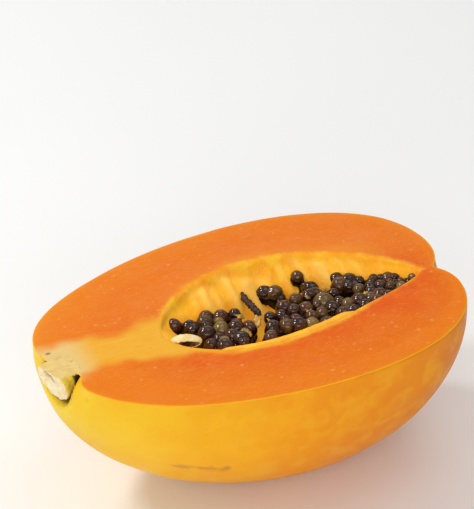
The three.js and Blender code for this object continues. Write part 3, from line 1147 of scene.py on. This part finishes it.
    def open_socket(self, points: np.ndarray, on_skin: np.ndarray) -> np.ndarray:
        """Sinks the skin round the stem stub into a socket.

        Args:
            points: All points of the fruit half, in millimetres; the skin's are moved.
            on_skin: Which of them lie on the skin.

        Returns:
            The share of the socket's depth for each point, 0 outside it.
        """
        along, off = STUB.split(points)
        aim = np.array(STUB.aim)
        middle = np.array(STUB.tip) + along[:, None] * aim
        outward = (points - middle) / np.maximum(off, 1e-6)[:, None]
        facing = np.clip(outward @ np.array((0.62, -0.75, -0.22)), 0, 1)
        wide = STUB.radius + self.socket_gap + self.socket_open * facing
        over = on_skin & (along > -13) & (off < wide + 1.0)
        share = np.clip((wide - off) / (0.3 * wide), 0, 1)
        reach = np.where(off > 0.7 * wide, wide, off / 0.7)
        sunk = middle + outward * reach[:, None] - aim * (share * (along + 14))[:, None]
        sunk[:, 2] = np.minimum(sunk[:, 2], -1.0)
        points[over] = sunk[over]
        return np.where(over, share, 0)

    def distances(self, points: np.ndarray, line: np.ndarray) -> np.ndarray:
        """Returns each point's distance in plan from a closed line."""
        tree = KDTree(len(line))
        for number, (x, y) in enumerate(line):
            tree.insert((x, y, 0), number)
        tree.balance()
        return np.array([tree.find((x, y, 0))[2] for x, y in points[:, :2]])

    def outline(self) -> np.ndarray:
        """Returns the cut face's outline as close points."""
        shares = FRUIT.stations(1400, (-90, 90), 1.0)
        ends = [FRUIT.skin(s, np.array((0.0, math.pi))) for s in shares]
        return np.concatenate(ends)[:, :2]

    def rim(self) -> np.ndarray:
        """Returns the rim of the hollow as close points."""
        x = np.linspace(HOLLOW.start + 0.01, HOLLOW.end - 0.01, 1500)
        far = np.stack((x, HOLLOW.middle(x) + HOLLOW.reach(x)), axis=1)
        near = np.stack((x, HOLLOW.middle(x) - HOLLOW.reach(x)), axis=1)
        return np.concatenate((far, near))

    def store_zones(self, made: bpy.types.Object, points: np.ndarray) -> None:
        """Stores where the flesh, the lining and the pale tissue lie."""
        x, y = points[:, 0], points[:, 1]
        share, inside = HOLLOW.fall(x, y)
        in_hollow = (inside > 0) & (HOLLOW.span(x) > 0)
        store(made, "from_skin", self.distances(points, self.outline()))
        store(made, "from_hollow", np.where(in_hollow, 0, self.distances(points, self.rim())))
        store(made, "wall", np.where(in_hollow, share, 0))
        far = in_hollow & (y > HOLLOW.middle(x))
        store(made, "fold", np.where(far, np.clip(self.fold_rise(x, share) / 2.6, 0, 1), 0))
        store(made, "lip", self.lip_at(x, y))
        nick = np.linalg.norm((points - np.array(self.nick)) / (1.5, 1.0, 1.0), axis=1)
        store(made, "nick", smooth_step(nick, 1.2, 0.4) * 0.8)
        at, middle, half = (np.array(column) for column in zip(*self.funnel))
        wave = Ripple(12.0, 31).at(points) * 1.2
        off = np.interp(x, at, half) + wave - abs(y - np.interp(x, at, middle))
        reach = smooth_step(x, -24, -38)
        depth = smooth_step(points[:, 2], -14, -2)
        store(made, "funnel", smooth_step(off, -6.5, 2.6) * reach * depth)

    def store_scratch(self, made: bpy.types.Object, points: np.ndarray) -> None:
        """Stores the thin brown scratch low on the near side."""
        start, end = np.array((-54.0, -44.0, -41.0)), np.array((-33.0, -51.0, -45.2))
        along = end - start
        share = np.clip((points - start) @ along / (along @ along), 0, 1)
        off = np.linalg.norm(points - start - share[:, None] * along, axis=1)
        off = off + Ripple(5.0, 41).at(points) * 0.7
        near = (points[:, 1] < 0) & (points[:, 2] < -20)
        store(made, "scratch", smooth_step(off, 2.3, 0.6) * near * 0.6)

    def build(self) -> bpy.types.Object:
        """Returns the closed body of flesh and skin."""
        around = self.skin_points + self.cut_points
        deselect()
        bpy.ops.mesh.primitive_uv_sphere_add(segments=around, ring_count=self.rings, radius=1)
        made = added(self.name)
        start = points_of(made)
        ring = np.rint(np.arccos(np.clip(start[:, 2], -1, 1)) / math.pi * self.rings).astype(int)
        turn = np.arctan2(start[:, 1], start[:, 0]) / (2 * math.pi)
        spot = np.rint(turn * around).astype(int) % around
        shares = FRUIT.stations(self.rings, (HOLLOW.start - 4, HOLLOW.end + 2), 1.25)
        sections = np.array([self.ring(share) for share in shares])
        points = sections[ring, spot]
        lumps = Ripple(34.0, 51).at(points) * 0.3 * smooth_step(points[:, 2], 0, -12)
        points[:, 1] -= np.sign(points[:, 1]) * np.clip(lumps, 0, 1)
        points = self.clear_stub(points, spot >= self.skin_points)
        socket = self.open_socket(points, spot < self.skin_points)
        points[:, 2] = np.minimum(points[:, 2], 0)
        move_points(made, to_frame(points))
        # The skin paints the socket dark brown: partly a scar, partly painted shade in the crease.
        store(made, "socket", np.clip(socket * 3, 0, 1))
        self.store_zones(made, points)
        self.store_scratch(made, points)
        self.part_skin(made, spot)
        tidy(made)
        return made

    def part_skin(self, made: bpy.types.Object, spot: np.ndarray) -> None:
        """Gives the skin's faces the second finish."""
        for face in made.data.polygons:
            spots = [spot[v] for v in face.vertices]
            on_skin = all(s < self.skin_points for s in spots)
            face.material_index = 1 if on_skin else 0


@dataclass
class StemStub(Piece):
    """The stub of the stalk: a sliced top, a pale end with a slit, and a dark dried root."""

    sides: int = 96
    steps: int = 72
    slant: float = 0.19
    slant_from: float = 8.6

    def build(self) -> bpy.types.Object:
        """Returns the closed stub."""
        deselect()
        bpy.ops.mesh.primitive_uv_sphere_add(segments=self.sides, ring_count=self.steps, radius=1)
        made = added(self.name)
        start = points_of(made)
        ring = np.arccos(np.clip(start[:, 2], -1, 1)) / math.pi
        turn = np.arctan2(start[:, 1], start[:, 0])
        walk = (0.0, 0.30, 0.33, 0.36, 0.93, 1.0)
        along = np.interp(ring, walk, (0.0, 0.0, -0.25, -0.8, -15.4, -16.0))
        share = np.interp(ring, walk, (0.0, 0.93, 0.985, 1.0, 1.0, 0.0))
        radius = share * np.where(ring < 0.36, STUB.radius * 0.985, STUB.width(along))
        uneven = 1 + 0.02 * np.cos(5 * turn + 1) + 0.018 * np.cos(11 * turn)
        side, upward = STUB.cross()
        points = np.array(STUB.tip) + along[:, None] * np.array(STUB.aim)
        points = points + (radius * uneven * np.cos(turn))[:, None] * side
        points = points + (radius * uneven * np.sin(turn))[:, None] * upward
        on_end = ring < 0.33
        ridges = 0.12 * np.cos(radius * 2.2 + 1.5 * Ripple(6.0, 62).at(points))
        dish = 0.9 * (1 - smooth_step(radius, 2, 8.8)) + ridges
        sunk = on_end * (dish + 2.6 * STUB.pit(points))
        points = points - (sunk + self.slanted(points, along))[:, None] * np.array(STUB.aim)
        points = points + 0.12 * Ripple(3.0, 61).at(points)[:, None] * (ring < 0.9)[:, None]
        move_points(made, to_frame(self.level_top(points)))
        tidy(made)
        self.store_zones(made, ring)
        return made

    def slanted(self, points: np.ndarray, along: np.ndarray) -> np.ndarray:
        """Returns how far each point moves back, because the end was cut a little askew."""
        aim, toward = np.array(STUB.aim), np.array(TO_CAMERA)
        toward = toward - (toward @ aim) * aim
        off = (points - np.array(STUB.tip)) @ (toward / np.linalg.norm(toward))
        return self.slant * np.clip(off + self.slant_from, 0, None) * smooth_step(along, -9.5, 0)

    def level_top(self, points: np.ndarray) -> np.ndarray:
        """Brings the part above the cut face down to it, with a rounded edge."""
        upward = STUB.cross()[1]
        level = smooth_min(np.full(len(points), -0.05), points[:, 2], 1.3)
        return points - np.outer((points[:, 2] - level) / upward[2], upward)

    def store_zones(self, made: bpy.types.Object, ring: np.ndarray) -> None:
        """Stores where the cut end, the slit, the sliced top and the dark root lie."""
        points = points_of(made) / MM - CUT_MIDDLE
        along = STUB.split(points)[0]
        store(made, "cut", smooth_step(ring, 0.35, 0.325))
        store(made, "slit", STUB.pit(points) * (ring < 0.33) * 0.9)
        height = points[:, 2] + 0.25 * Ripple(2.5, 72).at(points)
        store(made, "sliced", smooth_step(height, -1.4, -0.1))
        # root: the stub's base in the socket, painted dark; partly a dried scar, partly painted
        # shade.
        wave = Ripple(7.0, 71).at(points)
        store(made, "root", smooth_step(along + wave, -9.0, -10.5) * (points[:, 2] < -1))


class SeedDraw:
    """The same row of random numbers as in the part's source."""

    def __init__(self, state: int = 7) -> None:
        """Starts the row."""
        self.state = state

    def number(self) -> float:
        """Returns the next number from 0 to 1."""
        self.state = (self.state * 1664525 + 1013904223) % 4294967296
        return self.state / 4294967296

    def around(self, middle: float, spread: float) -> float:
        """Returns a number within a spread of the middle."""
        return middle + (2 * self.number() - 1) * spread


@dataclass(frozen=True)
class SeedRow:
    """A row of seeds along the placenta: first and last seed, how many, and their size."""

    first: tuple[float, float]
    last: tuple[float, float]
    count: int
    size: float


@dataclass(frozen=True)
class Seed:
    """One seed: its place, its radius and how it is turned."""

    place: tuple[float, float, float]
    radius: float
    turn: tuple[float, float]


@dataclass(frozen=True)
class SeedHeap:
    """How high the seeds lie in the hollow."""

    radius: float = 3.2
    spread: float = 0.12
    jitter: float = 0.7
    top: float = -4.6
    slope: float = 0.09
    far_side: float = 12.0
    far_slope: float = 0.25
    highest: float = -2.4
    tip_start: float = 66.0
    tip_rise: float = 0.16
    off_wall: float = 0.3

    def height(self, x: float, y: float, radius: float) -> float:
        """Returns the height of a seed's middle: on the heap, or on the wall where it is higher."""
        fall = self.slope * (y + 25) + self.far_slope * max(0.0, y - self.far_side)
        heap = self.top - fall + self.tip_rise * max(0.0, x - self.tip_start)
        return min(self.highest, max(heap, self.wall(x, y) + self.off_wall * radius))

    def wall(self, x: float, y: float) -> float:
        """Returns the height of the hollow's wall."""
        return float(HOLLOW.wall(np.array([x]), np.array([y]))[0])

    def drawn(self, rows: tuple[SeedRow, ...], draw: SeedDraw) -> list[Seed]:
        """Returns the seeds of some rows, drawn in the same order as in the part's source."""
        seeds = []
        for row in rows:
            for number in range(row.count):
                share = number / (row.count - 1)
                x = draw.around(row.first[0] + (row.last[0] - row.first[0]) * share, self.jitter)
                y = draw.around(row.first[1] + (row.last[1] - row.first[1]) * share, self.jitter)
                radius = self.radius * row.size * draw.around(1, self.spread)
                z = draw.around(self.height(x, y, radius), self.jitter / 2)
                turn = (draw.around(0, math.pi), draw.around(0, math.pi))
                seeds.append(Seed((x, y, z), radius, turn))
        return seeds


HEAP = SeedHeap()
DRAW = SeedDraw()


@dataclass
class SeedClump(Piece):
    """A clump of seeds: the top ones where the part has them, and more below and between."""

    rows: tuple[SeedRow, ...] = ()
    layers: tuple[float, ...] = (4.8, 8.4)
    shift: float = 2.4
    sizes: tuple[float, ...] = (0.9, 1.02, 1.14, 1.26)
    sunk: float = 1.6
    raised: float = 0.5
    seed: int = 1
    laid: list[Seed] = field(default_factory=list)

    def model(self) -> bpy.types.Object:
        """Returns the one seed that all others are copied from: a wrinkled egg."""
        deselect()
        bpy.ops.mesh.primitive_ico_sphere_add(subdivisions=4 if len(self.rows) < 2 else 3, radius=1)
        made = added("seed_model")
        points = points_of(made)
        wrinkle = 1 + 0.028 * Ripple(0.75, 81, (2.2, 1, 1)).at(points)
        points = points * wrinkle[:, None]
        narrow = 1 - 0.16 * smooth_step(points[:, 0], 0.2, 1.1)
        points[:, 1:] *= narrow[:, None]
        move_points(made, points)
        tidy(made)
        return made

    def below(self, seeds: list[Seed]) -> list[Seed]:
        """Returns the seeds of the layers under the top one."""
        draw = np.random.default_rng(self.seed)
        found = []
        for depth in self.layers:
            for one in seeds:
                shift = draw.uniform(-self.shift, self.shift, 2)
                x, y = one.place[0] + shift[0], one.place[1] + shift[1]
                lower = one.place[2] - depth * one.radius / HEAP.radius
                z = max(lower, HEAP.wall(x, y) + 0.45 * one.radius)
                if z < one.place[2] - 1.2 and z < -3.2:
                    turn = tuple(draw.uniform(-math.pi, math.pi, 2))
                    found.append(Seed((x, y, z), one.radius * draw.uniform(0.88, 1.04), turn))
        return found

    def varied(self, one: Seed, draw: np.random.Generator) -> Seed:
        """Returns a seed a little larger or smaller, and raised or sunk, than the part has it."""
        radius = one.radius * draw.choice(self.sizes)
        x, y, z = one.place
        z = min(z + draw.uniform(-self.sunk, self.raised), -1.12 * radius - 0.3)
        return Seed((x, y, z), radius, one.turn)

    def build(self) -> bpy.types.Object:
        """Returns the clump as one object."""
        model = self.model()
        draw = np.random.default_rng(self.seed + 50)
        top = HEAP.drawn(self.rows, DRAW)
        top = [self.varied(one, draw) for one in top]
        self.laid = [*top, *self.below(top)]
        pieces = []
        for number, one in enumerate(self.laid):
            made = copy_of(model)
            turn = Euler((one.turn[0], 0, 0)).to_matrix().to_4x4()
            turn = Euler((0, 0, one.turn[1])).to_matrix().to_4x4() @ turn
            long, across = 1.1 * one.radius * MM, 0.95 * one.radius * MM
            size = Matrix.Diagonal((long, across, across, 1))
            place = Matrix.Translation(Vector(to_frame(np.array(one.place))))
            made.data.transform(place @ turn @ size)
            tone = draw.uniform(0, 0.62) if draw.random() < 0.7 else draw.uniform(0.62, 1)
            # Seeds of the lower layers get a fifth of the tone, near black: painted shade under the
            # top seeds.
            tone = tone if number < len(top) else tone * 0.2
            store(made, "tone", np.full(len(made.data.vertices), tone))
            pieces.append(made)
        bpy.data.objects.remove(model)
        return join(pieces, self.name)


@dataclass
class SeedPulpAndShade(Piece):
    """A near-black mass that the seeds are bedded in: partly their wet pulp, partly painted shade
    under and between them.
    """

    clumps: tuple[SeedClump, ...] = ()
    voxel: float = 0.0007
    swell: float = 1.16
    drop: float = 0.62

    def build(self) -> bpy.types.Object:
        """Returns the near-black mass, grown round the lower half of every seed."""
        pieces = []
        for one in [seed for clump in self.clumps for seed in clump.laid]:
            deselect()
            x, y, z = one.place
            place = tuple(to_frame(np.array((x, y, z - self.drop * one.radius))))
            radius = one.radius * self.swell * MM
            bpy.ops.mesh.primitive_ico_sphere_add(subdivisions=3, radius=radius, location=place)
            pieces.append(added("pulp_shade_drop"))
        made = join(pieces, self.name)
        bpy.context.view_layer.objects.active = made
        made.select_set(True)
        bpy.ops.object.transform_apply(location=True, rotation=True, scale=True)
        use_modifier(made, "REMESH", mode="VOXEL", voxel_size=self.voxel)
        use_modifier(made, "SMOOTH", factor=0.5, iterations=4)
        points = points_of(made)
        move_points(made, points + 0.00016 * Ripple(2.4, 131).at(points / MM)[:, None])
        tidy(made)
        store(made, "dark", np.zeros(len(made.data.vertices)))
        return made


@dataclass
class SeedSacs(Piece):
    """The clear wet sacs that still sit round some of the seeds."""

    clumps: tuple[SeedClump, ...] = ()
    picked: float = 0.13
    swell: float = 1.17

    def build(self) -> bpy.types.Object:
        """Returns the sacs as one object, each a wrinkled egg round its seed."""
        draw = np.random.default_rng(141)
        pieces = []
        for clump in self.clumps:
            for one in clump.laid[: sum(row.count for row in clump.rows)]:
                if draw.random() > self.picked or one.radius > 3.9:
                    continue
                deselect()
                bpy.ops.mesh.primitive_ico_sphere_add(subdivisions=4, radius=1)
                made = added("sac")
                points = points_of(made)
                points = points * (1 + 0.035 * Ripple(1.1, 150 + len(pieces)).at(points)[:, None])
                spin = np.array(Euler(tuple(draw.uniform(-3, 3, 3))).to_matrix())
                size = one.radius * self.swell * np.array((1.12, 0.96, 0.92))
                points = (points * size) @ spin.T + np.array(one.place)
                points[:, 2] = np.minimum(points[:, 2], -0.2)
                move_points(made, to_frame(points))
                pieces.append(made)
        made = join(pieces, self.name)
        tidy(made)
        store(made, "dark", np.zeros(len(made.data.vertices)))
        return made


@dataclass
class DriedStrand(Piece):
    """The dried strand of placenta that hangs from the far wall down to the heap."""

    route: tuple = ((7.6, 26.3), (7.9, 18.4), (7.2, 12.0), (7.0, 7.0), (7.8, 2.6))
    radius: float = 1.35

    def build(self) -> bpy.types.Object:
        """Returns the strand: a knobbly tube and a thinner one twisted round it."""
        ends = np.array([(x, y, HEAP.height(x, y, 1.6)) for x, y in self.route])
        share = np.linspace(0, 1, len(ends))
        fine = np.linspace(0, 1, 46)
        path = np.stack([np.interp(fine, share, ends[:, i]) for i in range(3)], axis=1)
        for _ in range(4):
            path[1:-1] = (path[:-2] + 2 * path[1:-1] + path[2:]) / 4
        draw = np.random.default_rng(91)
        knobs = 1 + 0.22 * np.sin(fine * 40 + draw.uniform(0, 6)) + 0.14 * np.sin(fine * 71)
        thick = self.radius * knobs * np.interp(fine, (0, 0.1, 0.9, 1), (0.5, 1, 0.9, 0.5))
        main = tube(self.name, path, thick, 14)
        twist = path + np.stack((np.cos(fine * 22), 0 * fine, np.sin(fine * 22)), axis=1) * 1.0
        thin = tube("strand_twist", twist, 0.45 + 0.1 * np.sin(fine * 50), 8)
        made = join([main, thin], self.name)
        points = points_of(made)
        points = points + 0.00022 * Ripple(2.2, 92).at(points / MM)[:, None]
        move_points(made, points)
        tidy(made)
        return made


@dataclass
class EmptyCoat(Piece):
    """The pale empty seed coat: a thin shell, split open on its near side."""

    place: tuple[float, float, float] = (-32.5, -6.2, -4.2)
    size: tuple[float, float, float] = (7.2, 3.4, 3.3)
    inside: tuple[float, float, float] = (6.2, 2.9, 2.5)
    split: tuple[float, float, float] = (0.0, -1.75, -0.7)
    turn: float = -0.38
    thick: float = 0.5

    def build(self) -> bpy.types.Object:
        """Returns the shell with its rolled edge."""
        deselect()
        bpy.ops.mesh.primitive_uv_sphere_add(
            segments=64, ring_count=40, radius=1, rotation=(0, math.pi / 2, 0)
        )
        made = added(self.name)
        bpy.ops.object.transform_apply(location=False, rotation=True, scale=False)
        points = points_of(made) * np.array(self.size)
        move_points(made, points)
        hole = (points - np.array(self.split)) / np.array(self.inside)
        open_it = np.linalg.norm(hole, axis=1) < 1.02
        edit(made)
        bpy.ops.mesh.select_all(action="DESELECT")
        bpy.ops.object.mode_set(mode="OBJECT")
        made.data.vertices.foreach_set("select", open_it)
        bpy.ops.object.mode_set(mode="EDIT")
        bpy.ops.mesh.delete(type="VERT")
        bpy.ops.object.mode_set(mode="OBJECT")
        tidy(made)
        use_modifier(made, "SOLIDIFY", thickness=self.thick, offset=-1.0)
        use_modifier(made, "SUBSURF", levels=1, render_levels=1)
        points = points_of(made)
        points = points + 0.12 * Ripple(3.4, 95).at(points)[:, None]
        shell = np.linalg.norm(points / np.array(self.size), axis=1)
        spin = np.array(Euler((0, 0, self.turn)).to_matrix())
        move_points(made, to_frame(points @ spin.T + np.array(self.place)))
        tidy(made)
        store(made, "dark", smooth_step(shell, 0.93, 0.84) * 0.97)
        return made


@dataclass
class TissueFlakes(Piece):
    """Small torn bits of tissue between the seeds."""

    spots: tuple = (
        (3.5, -3.5, 2.6),
        (-1.5, 5.0, 2.2),
        (16.0, -12.5, 2.4),
        (28.0, -7.0, 2.0),
        (37.0, -8.5, 2.2),
        (-4.0, -11.0, 2.3),
        (43.0, 8.5, 2.0),
        (-12.0, 2.0, 1.8),
        (33.0, 5.5, 1.8),
        (57.0, -6.0, 1.8),
        (9.0, -7.5, 2.0),
        (24.5, -2.0, 1.9),
    )

    def build(self) -> bpy.types.Object:
        """Returns all flakes as one object."""
        draw = np.random.default_rng(111)
        pieces = []
        for number, (x, y, size) in enumerate(self.spots):
            deselect()
            bpy.ops.mesh.primitive_ico_sphere_add(subdivisions=4, radius=1)
            made = added("flake")
            points = points_of(made)
            flat = np.array((size, size * 0.7, size * 0.32))
            points = points * (1 + 0.3 * Ripple(1.1, 120 + number).at(points)[:, None]) * flat
            turn = (*draw.uniform(-0.7, 0.7, 2), draw.uniform(0, 3))
            spin = np.array(Euler(turn).to_matrix())
            z = HEAP.height(x, y, HEAP.radius) + 0.6
            move_points(made, to_frame(points @ spin.T + np.array((x, y, z))))
            pieces.append(made)
        made = join(pieces, self.name)
        tidy(made)
        store(made, "dark", np.zeros(len(made.data.vertices)))
        return made


STEM_END_ROWS = (
    SeedRow((-31.5, 10.5), (-11, 7), 4, 1.05),
    SeedRow((-15.5, 13.5), (-3, 7.5), 3, 1.1),
    SeedRow((-24.5, 5), (-5, 1.5), 4, 0.95),
    SeedRow((-20, -0.5), (-1, -3.5), 4, 1),
    SeedRow((-16.5, -6.5), (-4.5, -8.5), 3, 0.95),
    SeedRow((-22.5, -10), (-8, -13), 3, 1),
    SeedRow((-18, -15), (-9, -17.5), 2, 1),
)
FAR_WALL_ROWS = (SeedRow((19.3, 24.2), (23.5, 22), 2, 1.1),)
BLOSSOM_END_ROWS = (
    SeedRow((3, -19.5), (8, -11), 3, 0.95),
    SeedRow((8, -10.5), (31, -19.5), 5, 1.02),
    SeedRow((11.5, -1.5), (34, -3), 5, 0.98),
    SeedRow((15.5, -7.5), (33, -11), 4, 0.98),
    SeedRow((20.5, 3.5), (34, 7.5), 3, 1),
    SeedRow((36.2, 24.8), (39.5, 4), 5, 1.02),
    SeedRow((38.5, -1), (40.5, -15.5), 3, 1.08),
    SeedRow((45.5, 4.5), (45.5, -3.5), 2, 1),
    SeedRow((46.5, -9), (64, -8.5), 4, 1),
    SeedRow((47, -14.5), (66, -12.5), 4, 0.95),
    SeedRow((50.5, 11), (61, -2.5), 4, 1.02),
    SeedRow((52.7, 17), (65.5, 5.5), 4, 0.98),
    SeedRow((63, 2), (73.5, -8.5), 4, 0.88),
    SeedRow((67.5, 7), (75.5, 2), 4, 0.8),
    SeedRow((71, -1.5), (82, -4.5), 5, 0.66),
)


# Stage, light and camera


@dataclass(frozen=True)
class SoftLight:
    """A square studio light that is aimed at the papaya."""

    name: str
    place: tuple[float, float, float]
    side: float
    power: float

    def make(self) -> None:
        """Adds the light to the scene."""
        lamp = bpy.data.lights.new(self.name, "AREA")
        lamp.shape = "SQUARE"
        lamp.size = self.side
        lamp.energy = self.power
        holder = bpy.data.objects.new(self.name, lamp)
        bpy.context.scene.collection.objects.link(holder)
        holder.location = self.place
        aim = Vector((0, 0, 0.06)) - Vector(self.place)
        holder.rotation_mode = "QUATERNION"
        holder.rotation_quaternion = aim.to_track_quat("-Z", "Y")


@dataclass(frozen=True)
class Studio:
    """A pale floor, soft light all round and the photograph's camera."""

    floor_side: float = 8.0
    sky: float = 0.42
    lights: tuple[SoftLight, ...] = (
        SoftLight("key_left", (-0.70, 0.30, 1.05), 0.2, 4.0),
        SoftLight("key_right", (-0.45, 0.75, 1.15), 0.2, 4.0),
        SoftLight("overhead", (0.45, -0.1, 1.5), 0.8, 2.4),
        SoftLight("behind", (0.48, 1.23, 0.91), 0.6, 1.2),
        SoftLight("front", (-0.6, -1.45, 0.66), 1.3, 12.0),
    )
    elevation: float = math.radians(34.533)
    azimuth: float = math.radians(21.452)
    roll: float = math.radians(2.612)
    distance: float = 1.1
    lens: float = 170.3
    aim: tuple[float, float] = (-0.00443, 0.0248)

    def floor(self) -> None:
        """Adds the floor."""
        deselect()
        bpy.ops.mesh.primitive_plane_add(size=self.floor_side, location=(0, 0, 0))
        made = added("floor")
        paper = bpy.data.materials.new("pale_paper")
        paper.use_nodes = True
        graph = Graph(paper.node_tree)
        shader = paper.node_tree.nodes["Principled BSDF"]
        tint = graph.mix(graph.noise(graph.place(), 6.0), "f6f6f4", "fbfbfa")
        graph.feed(shader.inputs["Base Color"], tint)
        shader.inputs["Roughness"].default_value = 0.9
        made.data.materials.append(paper)
        deselect()

    def sky_light(self) -> None:
        """Gives the world its even white light."""
        world = bpy.data.worlds.new("soft_white")
        world.use_nodes = True
        background = world.node_tree.nodes["Background"]
        background.inputs["Color"].default_value = (1, 1, 1, 1)
        background.inputs["Strength"].default_value = self.sky
        bpy.context.scene.world = world
        bpy.context.scene.view_settings.view_transform = "Standard"

    def camera(self) -> None:
        """Adds the camera at the photograph's viewing angle."""
        sin, cos = math.sin, math.cos
        forward = Vector(
            (
                sin(self.azimuth) * cos(self.elevation),
                cos(self.azimuth) * cos(self.elevation),
                -sin(self.elevation),
            )
        )
        level = Vector((cos(self.azimuth), -sin(self.azimuth), 0))
        upward = level.cross(forward)
        right = level * cos(self.roll) - upward * sin(self.roll)
        top = level * sin(self.roll) + upward * cos(self.roll)
        middle = Vector(to_frame(np.zeros(3)))
        place = middle - forward * self.distance
        back = (place - (middle + right * self.aim[0] + top * self.aim[1])).normalized()
        side = (right - right.dot(back) * back).normalized()
        data = bpy.data.cameras.new("photo_camera")
        data.lens = self.lens
        holder = bpy.data.objects.new("photo_camera", data)
        bpy.context.scene.collection.objects.link(holder)
        turned = Matrix((side, back.cross(side), back)).transposed().to_4x4()
        holder.matrix_world = Matrix.Translation(place) @ turned
        bpy.context.scene.camera = holder

    def make(self) -> None:
        """Sets up the whole studio."""
        self.floor()
        self.sky_light()
        for light in self.lights:
            light.make()
        self.camera()


def write_sizes() -> None:
    """Updates the view layer."""
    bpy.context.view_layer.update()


def main() -> None:
    """Builds the studio and the papaya, piece by piece."""
    logging.basicConfig(level=logging.INFO, format="%(name)s: %(message)s", force=True)
    deselect()
    Studio().make()
    clumps = (
        SeedClump("stem_end_seeds", "seed", (SEED,), ("seeds_stem_end",), STEM_END_ROWS, seed=1),
        SeedClump("far_wall_seeds", "seed", (SEED,), ("seeds_far_wall",), FAR_WALL_ROWS, seed=2),
        SeedClump(
            "blossom_end_seeds", "seed", (SEED,), ("seeds_blossom_end",), BLOSSOM_END_ROWS, seed=3
        ),
    )
    pieces = (
        FruitHalf("papaya_half", "flesh", (FLESH, SKIN), ("fruit_half",)),
        StemStub("stem_stub_piece", "stem", (STEM,), ("stem_stub",)),
        EmptyCoat("empty_coat", "seed_coat", (COAT,), ("empty_seed_coat",)),
        *clumps,
        SeedPulpAndShade("seed_pulp_and_shade", "seed_coat", (PULP_AND_SHADE,), clumps=clumps),
        SeedSacs("seed_sacs", "seed_coat", (SAC,), clumps=clumps),
        DriedStrand("strand", "strand", (STRAND,), ("dried_strand",)),
        TissueFlakes("tissue_flakes", "seed_coat", (FLAKE,)),
    )
    for piece in pieces:
        piece.make()
    write_sizes()


if __name__ == "__main__":
    main()
